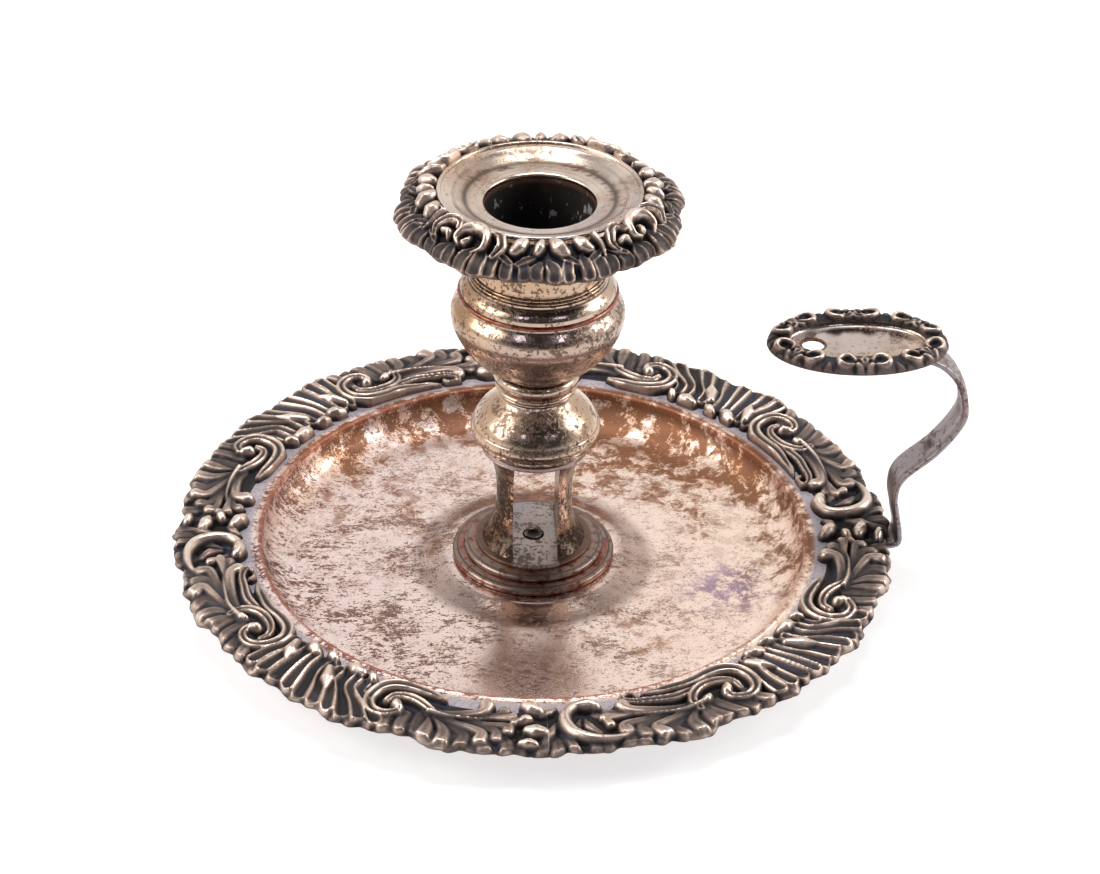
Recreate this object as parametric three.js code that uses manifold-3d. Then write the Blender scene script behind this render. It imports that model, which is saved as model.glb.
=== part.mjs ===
// A plated chamberstick: a round drip pan with a chased border, a slotted stem, a vase socket
// with a lift-out nozzle, and a strap handle with an oval thumb plate.
// Millimetres, +Z up, the handle towards +X, the wick-trimmer slot through along Y.
import * as THREE from 'three';
import { mergeVertices } from 'three/addons/utils/BufferGeometryUtils.js';
import Module from 'manifold-3d';

// ---- clearances and sheet ----
const GAP = 0.3; // between any two pieces that touch
const SHEET = 0.9; // rolled plate of the pan and the thumb plate
const SHELL = 0.8; // spun plate of the stem, the knop and the socket
const TUBE_SLIP = 0.4; // nozzle tube inside the candle tube, on radius

// ---- drip pan ----
const PAN_RADIUS = 75.7; // tips of the border
const BORDER_WIDTH = 15.7;
const BORDER_HEIGHT = 2.6; // chased work above the pan's flat rim
const BORDER_REPEATS = 4; // struck lengths around the pan
const BORDER_LOBES = 11; // scallops on each struck length
const SCALLOP_DEPTH = 0.9;
const RIM_FLAT = 3; // plain rim between the well and the border
const WELL_WALL_RUN = 8; // level distance that the well's curved wall takes
const PAN_DEPTH = 6.8; // rim above the well floor
const RIM_TUCK = 2.4; // how far the sheet rim stops inside the border's tips
const BOSS_SLOPE_RUN = 5.2;
const BOSS_LEDGE = 1.7; // flat of the boss outside the foot ring
const BOSS_RISE = 1.7;

// ---- stem ----
const FOOT_RING_STEP = 2.3; // foot ring outside the upper ring
const FOOT_RING_HEIGHT = 1.5;
const UPPER_RING_STEP = 2.6; // upper ring outside the slot floor
const UPPER_RING_HEIGHT = 1.3;
const SLOT_FLOOR_STEP = 1.4; // slot floor outside the column's ends
const PLATE_THICKNESS = 0.7; // slot floor and slot ceiling
const RIVET_RADIUS = 1.7;
const RIVET_HEAD = 0.5; // height of the rivet's heads
const STEM_END_RADIUS = 10.8;
const STEM_WAIST_RADIUS = 7.9;
const STEM_HEIGHT = 22.3;
const SLOT_WIDTH = 9.3;
const LINING = 0.7; // flat strips that line the slot
const KNOP_RING_STEP = 1.3; // lower ring outside the column's ends
const KNOP_RING_HEIGHT = 1.9;
const KNOP_STEP = 1.3; // knop outside its lower ring
const KNOP_HEIGHT = 8.9;
const NECK_RADIUS = 7.4;
const NECK_HEIGHT = 2.6;
const COLLAR_RADIUS = 8.9;
const COLLAR_HEIGHT = 2.9;

// ---- socket and nozzle ----
const BELLY_SWELL = 1.3; // belly outside the seam wire
const BOWL_FOOT_RADIUS = 8.1;
const BOWL_HEIGHT = 17.2;
const SEAM_STEP = 3.4; // seam wire outside the candle tube
const SEAM_WIRE = 1.0; // thickness of the seam wire
const SHOULDER_HEIGHT = 3.0;
const BEAD_STEP = 1.0; // shoulder bead outside the candle tube
const BEAD_WIRE = 0.9;
const CANDLE_BORE = 22.2; // takes a seven-eighths inch candle
const NOZZLE_WALL = 0.5;
const CANDLE_TUBE_WALL = 0.9;
const CANDLE_TUBE_DEPTH = 27;
const NECK_STAND = 13.9; // candle tube standing above the shoulder bead
const NOZZLE_TUBE_LENGTH = 20;
const DISH_WIDTH = 8.8; // from the mouth of the bore to the ridge
const DISH_RISE = 3.1; // ridge above the mouth of the bore
const DISH_SHEET = 0.8;
const RIDGE_WIRE = 1.1;
const NOZZLE_BORDER_REACH = 8.5; // tips of the nozzle border outside the ridge
const NOZZLE_DROOP = 5.6; // tips below the ridge
const NOZZLE_REPEATS = 4;
const NOZZLE_LOBES = 7;
const NOZZLE_SCALLOP = 1.0;

// ---- handle ----
const STRAP_WIDTH = 8.5;
const STRAP_THICKNESS = 1.6;
const STRAP_TAIL = 11; // strap under the rim and under the thumb plate
const HANDLE_SWING = 13.3; // outermost point of the strap outside the pan's edge
const WAIST_RISE = 9.8; // above the rim, where the strap comes closest to the pan's edge
const OUTER_RISE = 32.3; // above the rim, where the strap is outermost
const THUMB_RISE = 44.8; // underside of the thumb plate above the rim
const THUMB_INSET = 10.4; // centre of the thumb plate inside the pan's edge
const THUMB_LENGTH = 37.2;
const THUMB_WIDTH = 23.8;
const THUMB_BORDER_WIDTH = 4.5;
const THUMB_BORDER_HEIGHT = 1.6;
const THUMB_DISH = 0.5; // depth of the dished middle
const THUMB_EDGE = 0.7; // step of the plate and of the border's upper part inside its outline
const HANG_HOLE_RADIUS = 2.3;
const HANG_HOLE_INSET = 9.5; // hole centre from the plate's inner tip

// ---- smoothness ----
const PAN_SIDES = 64;
const STEM_SIDES = 32;

// ---- radii and heights that follow from the sizes above ----
const borderInner = PAN_RADIUS - BORDER_WIDTH;
const wellRadius = borderInner - RIM_FLAT;
const slotFloorRadius = STEM_END_RADIUS + SLOT_FLOOR_STEP;
const upperRingRadius = slotFloorRadius + UPPER_RING_STEP;
const footRadius = upperRingRadius + FOOT_RING_STEP;
const bossRadius = footRadius + BOSS_LEDGE + BOSS_SLOPE_RUN;
const knopRingRadius = STEM_END_RADIUS + KNOP_RING_STEP;
const knopRadius = knopRingRadius + KNOP_STEP;
const tubeInner = CANDLE_BORE / 2 + NOZZLE_WALL + TUBE_SLIP;
const tubeOuter = tubeInner + CANDLE_TUBE_WALL;
const beadRadius = tubeOuter + BEAD_STEP;
const seamRadius = tubeOuter + SEAM_STEP;
const bellyRadius = seamRadius + BELLY_SWELL;
const dishRadius = CANDLE_BORE / 2 + DISH_WIDTH;
const nozzleRadius = dishRadius + NOZZLE_BORDER_REACH;
const rimTop = SHEET + PAN_DEPTH;
const waistHeight = rimTop + WAIST_RISE;
const outerHeight = rimTop + OUTER_RISE;
const thumbHeight = rimTop + THUMB_RISE;
const thumbReach = PAN_RADIUS - THUMB_INSET;

const silver = { color: 0xb9a79c, roughness: 0.28, metalness: 1 };
const wornCopper = { color: 0x9c5a44, roughness: 0.35, metalness: 1 };
const chased = { color: 0x8b7b72, roughness: 0.42, metalness: 1 };
const grey = { color: 0x8c8894, roughness: 0.38, metalness: 1 };

const wasm = await Module();
wasm.setup();

const model = new THREE.Group();

// ---- helpers ----

function add(name, geometry, finish, parent = model) {
  const mesh = new THREE.Mesh(geometry, new THREE.MeshStandardMaterial(finish));
  mesh.name = name;
  parent.add(mesh);
  return mesh;
}

// A closed ring or a solid of revolution about Z, from [radius, height] points.
function turned(points, sides = STEM_SIDES) {
  const outline = points.map(([r, z]) => new THREE.Vector2(r, z));
  const ring = points.every(([r]) => r > 0);
  if (ring) outline.push(outline[0].clone());
  const area = outline.reduce((sum, p, i) => {
    const n = outline[(i + 1) % outline.length];
    return sum + p.x * n.y - n.x * p.y;
  }, 0);
  if (area < 0) outline.reverse();
  return new THREE.LatheGeometry(outline, sides).rotateX(Math.PI / 2);
}

// Sheet of an even thickness below an open line of [radius, height] points.
function sheetOutline(points, thickness) {
  const under = points.map((point, i) => {
    const before = points[Math.max(i - 1, 0)];
    const after = points[Math.min(i + 1, points.length - 1)];
    const along = new THREE.Vector2(after[0] - before[0], after[1] - before[1]).normalize();
    return [point[0] + along.y * thickness, point[1] - along.x * thickness];
  });
  return [...points, ...under.reverse()];
}

// Points of a half-round edge from a low corner to a high one, bulging outwards.
function bulge(radius, low, high, steps = 3) {
  const half = (high - low) / 2;
  return Array.from({ length: steps + 1 }, (_, i) => {
    const a = -Math.PI / 2 + (Math.PI * i) / steps;
    return [radius - half + half * Math.cos(a), low + half + half * Math.sin(a)];
  });
}

function solidOf(geometry) {
  const bare = geometry.index ? geometry.clone() : geometry;
  bare.deleteAttribute('normal');
  bare.deleteAttribute('uv');
  const merged = mergeVertices(bare, 1e-4);
  return new wasm.Manifold(new wasm.Mesh({
    numProp: 3,
    vertProperties: new Float32Array(merged.attributes.position.array),
    triVerts: new Uint32Array(merged.index.array),
  }));
}

function geometryOf(solid) {
  const { vertProperties, triVerts } = solid.getMesh();
  const geometry = new THREE.BufferGeometry();
  geometry.setAttribute('position', new THREE.BufferAttribute(new Float32Array(vertProperties), 3));
  geometry.setIndex(new THREE.BufferAttribute(new Uint32Array(triVerts), 1));
  geometry.computeVertexNormals();
  return geometry;
}

const cut = (a, b) => geometryOf(solidOf(a).subtract(solidOf(b)));
const common = (a, b) => geometryOf(solidOf(a).intersect(solidOf(b)));

// One length of a scalloped border: a turned ring kept inside a scalloped sector.
function borderLength(ring, { inner, outer, lobes, depth, repeats, index, low, high }) {
  const span = (2 * Math.PI) / repeats - GAP / inner;
  const start = (index * 2 * Math.PI) / repeats + GAP / inner / 2;
  const perLobe = 4;
  const shape = new THREE.Shape();
  for (let i = 0; i <= lobes * perLobe; i += 1) {
    const share = i / (lobes * perLobe);
    const r = outer - depth * (1 - Math.abs(Math.sin(Math.PI * lobes * share)));
    const a = start + span * share;
    const x = r * Math.cos(a);
    const y = r * Math.sin(a);
    if (i === 0) shape.moveTo(x, y);
    else shape.lineTo(x, y);
  }
  shape.absarc(0, 0, inner - 2, start + span, start, true);
  const sector = new THREE.ExtrudeGeometry(shape, {
    depth: high - low + 2, bevelEnabled: false, curveSegments: 8,
  }).translate(0, 0, low - 1);
  return common(ring, sector);
}

// ---- drip pan and its border ----
const bossTop = SHEET + BOSS_RISE;
const rivetHole = RIVET_RADIUS + GAP;
const wellFloorRadius = wellRadius - WELL_WALL_RUN;
const wellWall = Array.from({ length: 5 }, (_, i) => {
  const a = (Math.PI / 2) * (i / 5);
  return [
    wellFloorRadius + WELL_WALL_RUN * Math.sin(a),
    SHEET + PAN_DEPTH * (1 - Math.cos(a)),
  ];
});
add('drip_pan', turned(sheetOutline([
  [rivetHole, bossTop],
  [bossRadius - BOSS_SLOPE_RUN, bossTop],
  [bossRadius, SHEET],
  ...wellWall,
  [wellRadius, rimTop],
  [PAN_RADIUS - SCALLOP_DEPTH - RIM_TUCK, rimTop],
], SHEET), PAN_SIDES), silver);

const borderBase = rimTop + GAP;
const borderRing = turned([
  [borderInner, borderBase],
  [PAN_RADIUS + 1, borderBase],
  [PAN_RADIUS + 1, borderBase + BORDER_HEIGHT * 0.3],
  [PAN_RADIUS - BORDER_WIDTH * 0.2, borderBase + BORDER_HEIGHT * 0.85],
  [PAN_RADIUS - BORDER_WIDTH * 0.55, borderBase + BORDER_HEIGHT],
  [borderInner + BORDER_WIDTH * 0.12, borderBase + BORDER_HEIGHT * 0.7],
], PAN_SIDES);
for (let i = 0; i < BORDER_REPEATS; i += 1) {
  add(`pan_border_${i + 1}`, borderLength(borderRing, {
    inner: borderInner, outer: PAN_RADIUS, lobes: BORDER_LOBES, depth: SCALLOP_DEPTH,
    repeats: BORDER_REPEATS, index: i, low: borderBase, high: borderBase + BORDER_HEIGHT,
  }), chased);
}

// ---- stem, from the pan upwards; z is the top of what has been stacked so far ----
let z = bossTop + GAP;
const footBore = RIVET_RADIUS + GAP;
add('foot_base_ring', turned([
  [footBore, z],
  ...bulge(footRadius, z, z + FOOT_RING_HEIGHT),
  [footBore, z + FOOT_RING_HEIGHT],
]), wornCopper);
z += FOOT_RING_HEIGHT + GAP;
add('foot_upper_ring', turned([
  [footBore, z],
  ...bulge(upperRingRadius, z, z + UPPER_RING_HEIGHT),
  [footBore, z + UPPER_RING_HEIGHT],
]), wornCopper);
z += UPPER_RING_HEIGHT + GAP;
add('slot_floor', turned([
  [footBore, z],
  [slotFloorRadius, z],
  [slotFloorRadius, z + PLATE_THICKNESS * 0.6],
  [slotFloorRadius - PLATE_THICKNESS * 0.4, z + PLATE_THICKNESS],
  [footBore, z + PLATE_THICKNESS],
]), grey);
z += PLATE_THICKNESS;
const slotFloorTop = z;
const rivetFoot = BOSS_RISE - GAP - RIVET_HEAD;
add('stem_rivet', turned([
  [0, rivetFoot],
  [RIVET_RADIUS * 1.8, rivetFoot],
  [RIVET_RADIUS * 1.8, rivetFoot + RIVET_HEAD],
  [RIVET_RADIUS, rivetFoot + RIVET_HEAD],
  [RIVET_RADIUS, slotFloorTop + RIVET_HEAD * 0.5],
  [RIVET_RADIUS * 0.6, slotFloorTop + RIVET_HEAD],
  [0, slotFloorTop + RIVET_HEAD],
], 20), grey);

// The slotted column: two curved cheeks, with a flat strip lining each side of the slot.
z += GAP;
const stemFoot = z;
const stemTop = z + STEM_HEIGHT;
const flare = STEM_END_RADIUS - STEM_WAIST_RADIUS;
const stemOutline = Array.from({ length: 9 }, (_, i) => {
  const t = (2 * i) / 8 - 1;
  return [STEM_WAIST_RADIUS + flare * Math.abs(t) ** 2.6, stemFoot + (STEM_HEIGHT * (t + 1)) / 2];
});
const cheekEdge = SLOT_WIDTH / 2;
const liningOuter = cheekEdge + LINING;
const shaft = turned([
  ...stemOutline,
  ...stemOutline.map(([r, h]) => [r - SHELL, h]).reverse(),
]);
const tall = STEM_HEIGHT + 4;
const wide = 4 * STEM_END_RADIUS;
for (const [side, sign] of [['left', -1], ['right', 1]]) {
  const keep = new THREE.BoxGeometry(wide, wide, tall)
    .translate(sign * (wide / 2 + liningOuter + GAP), 0, stemFoot + STEM_HEIGHT / 2);
  add(`stem_cheek_${side}`, common(shaft, keep), silver);
  const slab = new THREE.BoxGeometry(LINING, wide, tall)
    .translate(sign * (cheekEdge + LINING / 2), 0, stemFoot + STEM_HEIGHT / 2);
  const full = turned([[0, stemFoot], ...stemOutline, [0, stemTop]]);
  add(`slot_lining_${side}`, common(full, slab), silver);
}

z = stemTop + GAP;
add('slot_ceiling', turned([
  [0, z],
  [STEM_END_RADIUS + 0.4, z],
  [STEM_END_RADIUS + 0.4, z + PLATE_THICKNESS],
  [0, z + PLATE_THICKNESS],
]), grey);
z += PLATE_THICKNESS + GAP;
const knopBore = NECK_RADIUS - 2 * SHELL;
add('knop_lower_ring', turned([
  [knopBore, z],
  [STEM_END_RADIUS, z],
  ...bulge(knopRingRadius, z, z + KNOP_RING_HEIGHT),
  [knopBore, z + KNOP_RING_HEIGHT],
]), silver);
z += KNOP_RING_HEIGHT + GAP;
const knopFoot = z;
const knopLip = 1.4; // height of the knop's widest line above its foot
const knopCurve = Array.from({ length: 6 }, (_, i) => {
  const a = (Math.PI / 2) * (i / 5);
  return [
    NECK_RADIUS + (knopRadius - NECK_RADIUS) * Math.cos(a) ** 0.9,
    knopFoot + knopLip + (KNOP_HEIGHT - knopLip) * Math.sin(a),
  ];
});
add('knop_dome', turned([
  [knopRadius - 0.8, knopFoot],
  ...knopCurve,
  ...knopCurve.map(([r, h]) => [r - SHELL, h - SHELL]).reverse(),
  [knopRadius - 0.8 - SHELL, knopFoot],
]), silver);
z = knopFoot + KNOP_HEIGHT + GAP;
add('neck_collar', turned([
  [knopBore, z],
  [NECK_RADIUS, z],
  [NECK_RADIUS + 0.1, z + NECK_HEIGHT * 0.35],
  [NECK_RADIUS + 0.6, z + NECK_HEIGHT * 0.45],
  [NECK_RADIUS + 0.6, z + NECK_HEIGHT * 0.65],
  [NECK_RADIUS + 1, z + NECK_HEIGHT * 0.75],
  [NECK_RADIUS + 1, z + NECK_HEIGHT],
  [knopBore, z + NECK_HEIGHT],
]), silver);
z += NECK_HEIGHT + GAP;
add('collar_ring', turned([
  [knopBore, z],
  ...bulge(COLLAR_RADIUS, z, z + COLLAR_HEIGHT, 5),
  [knopBore, z + COLLAR_HEIGHT],
]), silver);
z += COLLAR_HEIGHT + GAP;

// ---- socket ----
const bowlFoot = z;
const bowlCurve = Array.from({ length: 8 }, (_, i) => {
  const t = i / 7;
  const swell = Math.sin(Math.PI * 0.5 * Math.min(t / 0.72, 1)) ** 0.85;
  const close = t > 0.72 ? ((t - 0.72) / 0.28) ** 2 * (bellyRadius - seamRadius + 0.2) : 0;
  return [
    BOWL_FOOT_RADIUS + (bellyRadius - BOWL_FOOT_RADIUS) * swell - close,
    bowlFoot + BOWL_HEIGHT * t,
  ];
});
add('socket_bowl', turned([
  [knopBore, bowlFoot],
  ...bowlCurve,
  ...bowlCurve.slice(1).map(([r, h]) => [r - SHELL, h]).reverse(),
  [BOWL_FOOT_RADIUS - SHELL, bowlFoot + SHELL],
  [knopBore, bowlFoot + SHELL],
]), silver);
z = bowlFoot + BOWL_HEIGHT + GAP;
add('socket_seam_wire', turned([
  [seamRadius - 2 * SEAM_WIRE, z],
  ...bulge(seamRadius, z, z + SEAM_WIRE),
  [seamRadius - 2 * SEAM_WIRE, z + SEAM_WIRE],
]), wornCopper);
z += SEAM_WIRE + GAP;
add('socket_shoulder', turned([
  [seamRadius - 0.5, z],
  [seamRadius - 0.9, z + SHOULDER_HEIGHT * 0.35],
  [beadRadius + 0.3, z + SHOULDER_HEIGHT * 0.8],
  [beadRadius + 0.1, z + SHOULDER_HEIGHT],
  [tubeOuter + GAP, z + SHOULDER_HEIGHT],
  [tubeOuter + GAP, z + SHOULDER_HEIGHT - SHELL],
  [seamRadius - 0.9 - SHELL, z + SHOULDER_HEIGHT * 0.35 - SHELL * 0.6],
  [seamRadius - 0.5 - SHELL, z],
]), silver);
z += SHOULDER_HEIGHT + GAP;
add('shoulder_bead', turned([
  [tubeOuter + GAP, z],
  ...bulge(beadRadius, z, z + BEAD_WIRE),
  [tubeOuter + GAP, z + BEAD_WIRE],
]), silver);
z += BEAD_WIRE;
const tubeTop = z + NECK_STAND;
const tubeFloor = tubeTop - CANDLE_TUBE_DEPTH;
add('candle_tube', turned([
  [0, tubeFloor - CANDLE_TUBE_WALL],
  [tubeOuter, tubeFloor - CANDLE_TUBE_WALL],
  [tubeOuter, tubeTop],
  [tubeInner, tubeTop],
  [tubeInner, tubeFloor],
  [0, tubeFloor],
]), silver);

// ---- nozzle: it lifts straight out of the candle tube ----
const nozzle = new THREE.Group();
model.add(nozzle);
const bore = CANDLE_BORE / 2;
const dishUnder = tubeTop + GAP;
const mouth = dishUnder + DISH_SHEET;
const ridge = mouth + DISH_RISE;
add('nozzle_tube', turned([
  [bore, dishUnder - GAP - NOZZLE_TUBE_LENGTH],
  [bore + NOZZLE_WALL, dishUnder - GAP - NOZZLE_TUBE_LENGTH],
  [bore + NOZZLE_WALL, dishUnder - GAP],
  [bore, dishUnder - GAP],
]), wornCopper, nozzle);
const dishTop = [0, 0.35, 0.7, 1].map((t) => [
  bore + (dishRadius - RIDGE_WIRE / 2 - GAP - bore) * t,
  mouth + (DISH_RISE - RIDGE_WIRE * 0.4) * t ** 1.7,
]);
add('nozzle_dish', turned([
  ...dishTop,
  ...dishTop.slice(1).map(([r, h]) => [r, h - DISH_SHEET]).reverse(),
  [tubeOuter, dishUnder],
  [bore, dishUnder],
]), silver, nozzle);
const ridgeWire = Array.from({ length: 6 }, (_, i) => {
  const a = (2 * Math.PI * i) / 6;
  return [
    dishRadius + (RIDGE_WIRE / 2) * Math.cos(a),
    ridge - RIDGE_WIRE / 2 + (RIDGE_WIRE / 2) * Math.sin(a),
  ];
});
add('nozzle_ridge_wire', turned(ridgeWire), silver, nozzle);
const noseInner = dishRadius + RIDGE_WIRE / 2 + GAP;
const noseRun = nozzleRadius - noseInner;
const noseTop = ridge;
const noseRing = turned([
  [noseInner, ridge - RIDGE_WIRE - 0.4],
  [noseInner, noseTop - 0.4],
  [noseInner + noseRun * 0.15, noseTop],
  [noseInner + noseRun * 0.55, noseTop - NOZZLE_DROOP * 0.3],
  [nozzleRadius - 0.3, noseTop - NOZZLE_DROOP * 0.75],
  [nozzleRadius + 0.2, noseTop - NOZZLE_DROOP],
  [nozzleRadius - 1.4, noseTop - NOZZLE_DROOP - 0.2],
  [noseInner + noseRun * 0.4, noseTop - NOZZLE_DROOP * 0.3 - 1.3],
]);
for (let i = 0; i < NOZZLE_REPEATS; i += 1) {
  add(`nozzle_border_${i + 1}`, borderLength(noseRing, {
    inner: noseInner, outer: nozzleRadius, lobes: NOZZLE_LOBES, depth: NOZZLE_SCALLOP,
    repeats: NOZZLE_REPEATS, index: i, low: noseTop - NOZZLE_DROOP - 1, high: noseTop,
  }), chased, nozzle);
}

// ---- handle: a strap bent from one length, soldered under the rim and the thumb plate ----
const half = STRAP_THICKNESS / 2;
const rimUnder = rimTop - SHEET - GAP - half;
const strapTop = thumbHeight - GAP - half;
const outermost = PAN_RADIUS + HANDLE_SWING - half;
const sweep = outermost - PAN_RADIUS;
const rise = outerHeight - waistHeight;
const strapLine = new THREE.SplineCurve([
  [PAN_RADIUS - STRAP_TAIL, rimUnder],
  [PAN_RADIUS - STRAP_TAIL * 0.5, rimUnder],
  [PAN_RADIUS, rimUnder - 0.2],
  [PAN_RADIUS + 1.7, rimUnder + 1.3],
  [PAN_RADIUS + 0.9, waistHeight - 5.5],
  [PAN_RADIUS, waistHeight],
  [PAN_RADIUS + sweep * 0.1, waistHeight + rise * 0.22],
  [PAN_RADIUS + sweep * 0.6, waistHeight + rise * 0.5],
  [PAN_RADIUS + sweep * 0.95, waistHeight + rise * 0.8],
  [outermost, outerHeight],
  [outermost - sweep * 0.15, outerHeight + (strapTop - outerHeight) * 0.5],
  [outermost - sweep * 0.48, outerHeight + (strapTop - outerHeight) * 0.87],
  [outermost - sweep * 0.95, strapTop],
  [outermost - sweep * 0.95 - STRAP_TAIL, strapTop],
].map(([x, h]) => new THREE.Vector2(x, h)));
const strapSteps = 44;
const line = strapLine.getPoints(strapSteps);
const offsetSide = (sign) => line.map((p, i) => {
  const t = strapLine.getTangent(i / strapSteps);
  return new THREE.Vector2(p.x - sign * half * t.y, p.y + sign * half * t.x);
});
const strapShape = new THREE.Shape([...offsetSide(-1), ...offsetSide(1).reverse()]);
add('handle_strap', new THREE.ExtrudeGeometry(strapShape, {
  depth: STRAP_WIDTH, bevelEnabled: false,
}).rotateX(Math.PI / 2).translate(0, STRAP_WIDTH / 2, 0), silver);

// An upright oval slab about the thumb plate's centre, with an oval hole where a hole is given.
function ovalSlab(inset, low, high, holeInset = null) {
  const ovalOf = (d) => [0, 0, THUMB_LENGTH / 2 - d, THUMB_WIDTH / 2 - d, 0, 2 * Math.PI];
  const shape = new THREE.Shape().absellipse(...ovalOf(inset));
  if (holeInset !== null) shape.holes.push(new THREE.Path().absellipse(...ovalOf(holeInset), true));
  const slab = new THREE.ExtrudeGeometry(shape, {
    depth: high - low, bevelEnabled: false, curveSegments: STEM_SIDES,
  });
  return slab.translate(thumbReach, 0, low);
}

const plateTop = thumbHeight + SHEET;
const plate = ovalSlab(THUMB_EDGE, thumbHeight, plateTop);
const dished = ovalSlab(THUMB_BORDER_WIDTH + THUMB_EDGE, plateTop - THUMB_DISH, plateTop + 1);
const hangHole = new THREE.CylinderGeometry(HANG_HOLE_RADIUS, HANG_HOLE_RADIUS, 6, 20)
  .rotateX(Math.PI / 2)
  .translate(thumbReach - THUMB_LENGTH / 2 + HANG_HOLE_INSET, 0, thumbHeight);
add('thumb_plate', cut(cut(plate, dished), hangHole), silver);
const borderLow = plateTop + GAP;
const borderMid = borderLow + THUMB_BORDER_HEIGHT * 0.5;
const borderHigh = borderLow + THUMB_BORDER_HEIGHT;
const lowerBorder = ovalSlab(0, borderLow, borderMid, THUMB_BORDER_WIDTH);
const upperBorder = ovalSlab(THUMB_EDGE, borderMid - 0.1, borderHigh, THUMB_BORDER_WIDTH - THUMB_EDGE);
add('thumb_border', geometryOf(solidOf(lowerBorder).add(solidOf(upperBorder))), chased);

// ---- the origin is under the middle of the object's box ----
const box = new THREE.Box3().setFromObject(model, true);
model.position.set(-(box.min.x + box.max.x) / 2, -(box.min.y + box.max.y) / 2, -box.min.z);
model.updateMatrixWorld(true);

export default model;
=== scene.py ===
# %% [markdown]
# # A plated chamberstick
#
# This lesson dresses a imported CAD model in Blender. The CAD model holds the sizes, the places and the one
# moving part, the lift-out nozzle. Here each part gets its fine surface: spun sheet, struck scroll work,
# and old silver plate that has worn through to its copper. The CAD model is loaded first, as a fixed
# frame.

# %% Load the frame
import math

import bmesh
import bpy
import numpy as np
from mathutils import Matrix, Vector, noise


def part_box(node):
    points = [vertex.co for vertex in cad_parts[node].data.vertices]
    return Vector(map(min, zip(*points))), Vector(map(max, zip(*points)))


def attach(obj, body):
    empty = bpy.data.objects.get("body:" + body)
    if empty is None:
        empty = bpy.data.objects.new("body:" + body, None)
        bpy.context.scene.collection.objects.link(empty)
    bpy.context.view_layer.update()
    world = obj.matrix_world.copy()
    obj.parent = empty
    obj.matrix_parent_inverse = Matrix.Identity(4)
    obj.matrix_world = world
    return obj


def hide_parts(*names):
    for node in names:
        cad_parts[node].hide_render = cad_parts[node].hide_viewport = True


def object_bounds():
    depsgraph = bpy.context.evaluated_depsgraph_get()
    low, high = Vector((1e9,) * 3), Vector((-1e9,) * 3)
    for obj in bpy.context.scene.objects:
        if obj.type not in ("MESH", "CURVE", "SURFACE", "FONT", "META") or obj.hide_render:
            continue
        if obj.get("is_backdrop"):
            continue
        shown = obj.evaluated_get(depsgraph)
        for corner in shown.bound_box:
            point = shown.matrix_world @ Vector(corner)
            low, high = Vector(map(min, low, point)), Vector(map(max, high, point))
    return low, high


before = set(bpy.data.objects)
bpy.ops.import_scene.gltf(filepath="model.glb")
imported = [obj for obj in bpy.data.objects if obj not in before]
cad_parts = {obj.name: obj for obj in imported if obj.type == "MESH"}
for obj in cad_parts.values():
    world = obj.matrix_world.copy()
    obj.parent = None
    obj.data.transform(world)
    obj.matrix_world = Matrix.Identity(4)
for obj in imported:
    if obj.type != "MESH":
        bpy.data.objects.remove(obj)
cad_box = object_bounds()
MM = 0.001

# %% [markdown]
# Everything on the stem is round about one vertical axis, so most places are a radius and a height. These
# helpers read them from the CAD boxes, in metres.

# %% Read sizes from the frame
tube_low, tube_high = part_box("candle_tube")
AXIS_X = (tube_low.x + tube_high.x) / 2


def reach(node):
    """Radius, low height and high height of a round node on the stem's axis."""
    low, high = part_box(node)
    return (high.y - low.y) / 2, low.z, high.z


print(f"stem axis at x = {AXIS_X / MM:.2f} mm")

# %% [markdown]
# ## Camera
#
# The view is from the front, a little to the left of the slot, looking down by about a third of a right
# angle through a long lens. A long lens keeps the round pan from looking stretched. The camera's matrix
# is built from its three directions, so that its small roll can be given directly.

# %% Camera
VIEW_DISTANCE = 0.511
VIEW_HEIGHT = 0.3619
VIEW_TURN = math.radians(3.0)
VIEW_YAW = math.radians(0.34)
VIEW_PITCH = math.radians(32.9)
VIEW_ROLL = math.radians(1.34)
LENS = 96.5


def place_camera():
    heading = VIEW_YAW + VIEW_TURN
    forward = Vector((
        math.sin(heading) * math.cos(VIEW_PITCH),
        math.cos(heading) * math.cos(VIEW_PITCH),
        -math.sin(VIEW_PITCH),
    ))
    level = Vector((math.cos(heading), -math.sin(heading), 0))
    upward = level.cross(forward)
    across = math.cos(VIEW_ROLL) * level + math.sin(VIEW_ROLL) * upward
    above = math.cos(VIEW_ROLL) * upward - math.sin(VIEW_ROLL) * level
    eye = Vector((
        AXIS_X - VIEW_DISTANCE * math.sin(VIEW_TURN),
        -VIEW_DISTANCE * math.cos(VIEW_TURN),
        VIEW_HEIGHT,
    ))
    data = bpy.data.cameras.new("view")
    data.lens = LENS
    data.clip_start = 0.01
    camera = bpy.data.objects.new("view", data)
    bpy.context.scene.collection.objects.link(camera)
    turn = Matrix((across, above, -forward)).transposed().to_4x4()
    camera.matrix_world = Matrix.Translation(eye) @ turn
    bpy.context.scene.camera = camera


place_camera()
print(f"lens {LENS} mm, {VIEW_DISTANCE} m from the stem")

# %% [markdown]
# ## Shader expressions
#
# A material is easier to read as arithmetic than as a drawing of boxes. `Signal` wraps one output socket,
# so `1 - mask * 0.5` adds the Math nodes by itself. `Nodes` makes any other node with one method, for the
# room as well as for a material. `Finish` is a material, with short ways to make its patterns and to mix
# its colours.

# %% Signal, Nodes and Finish


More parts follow.
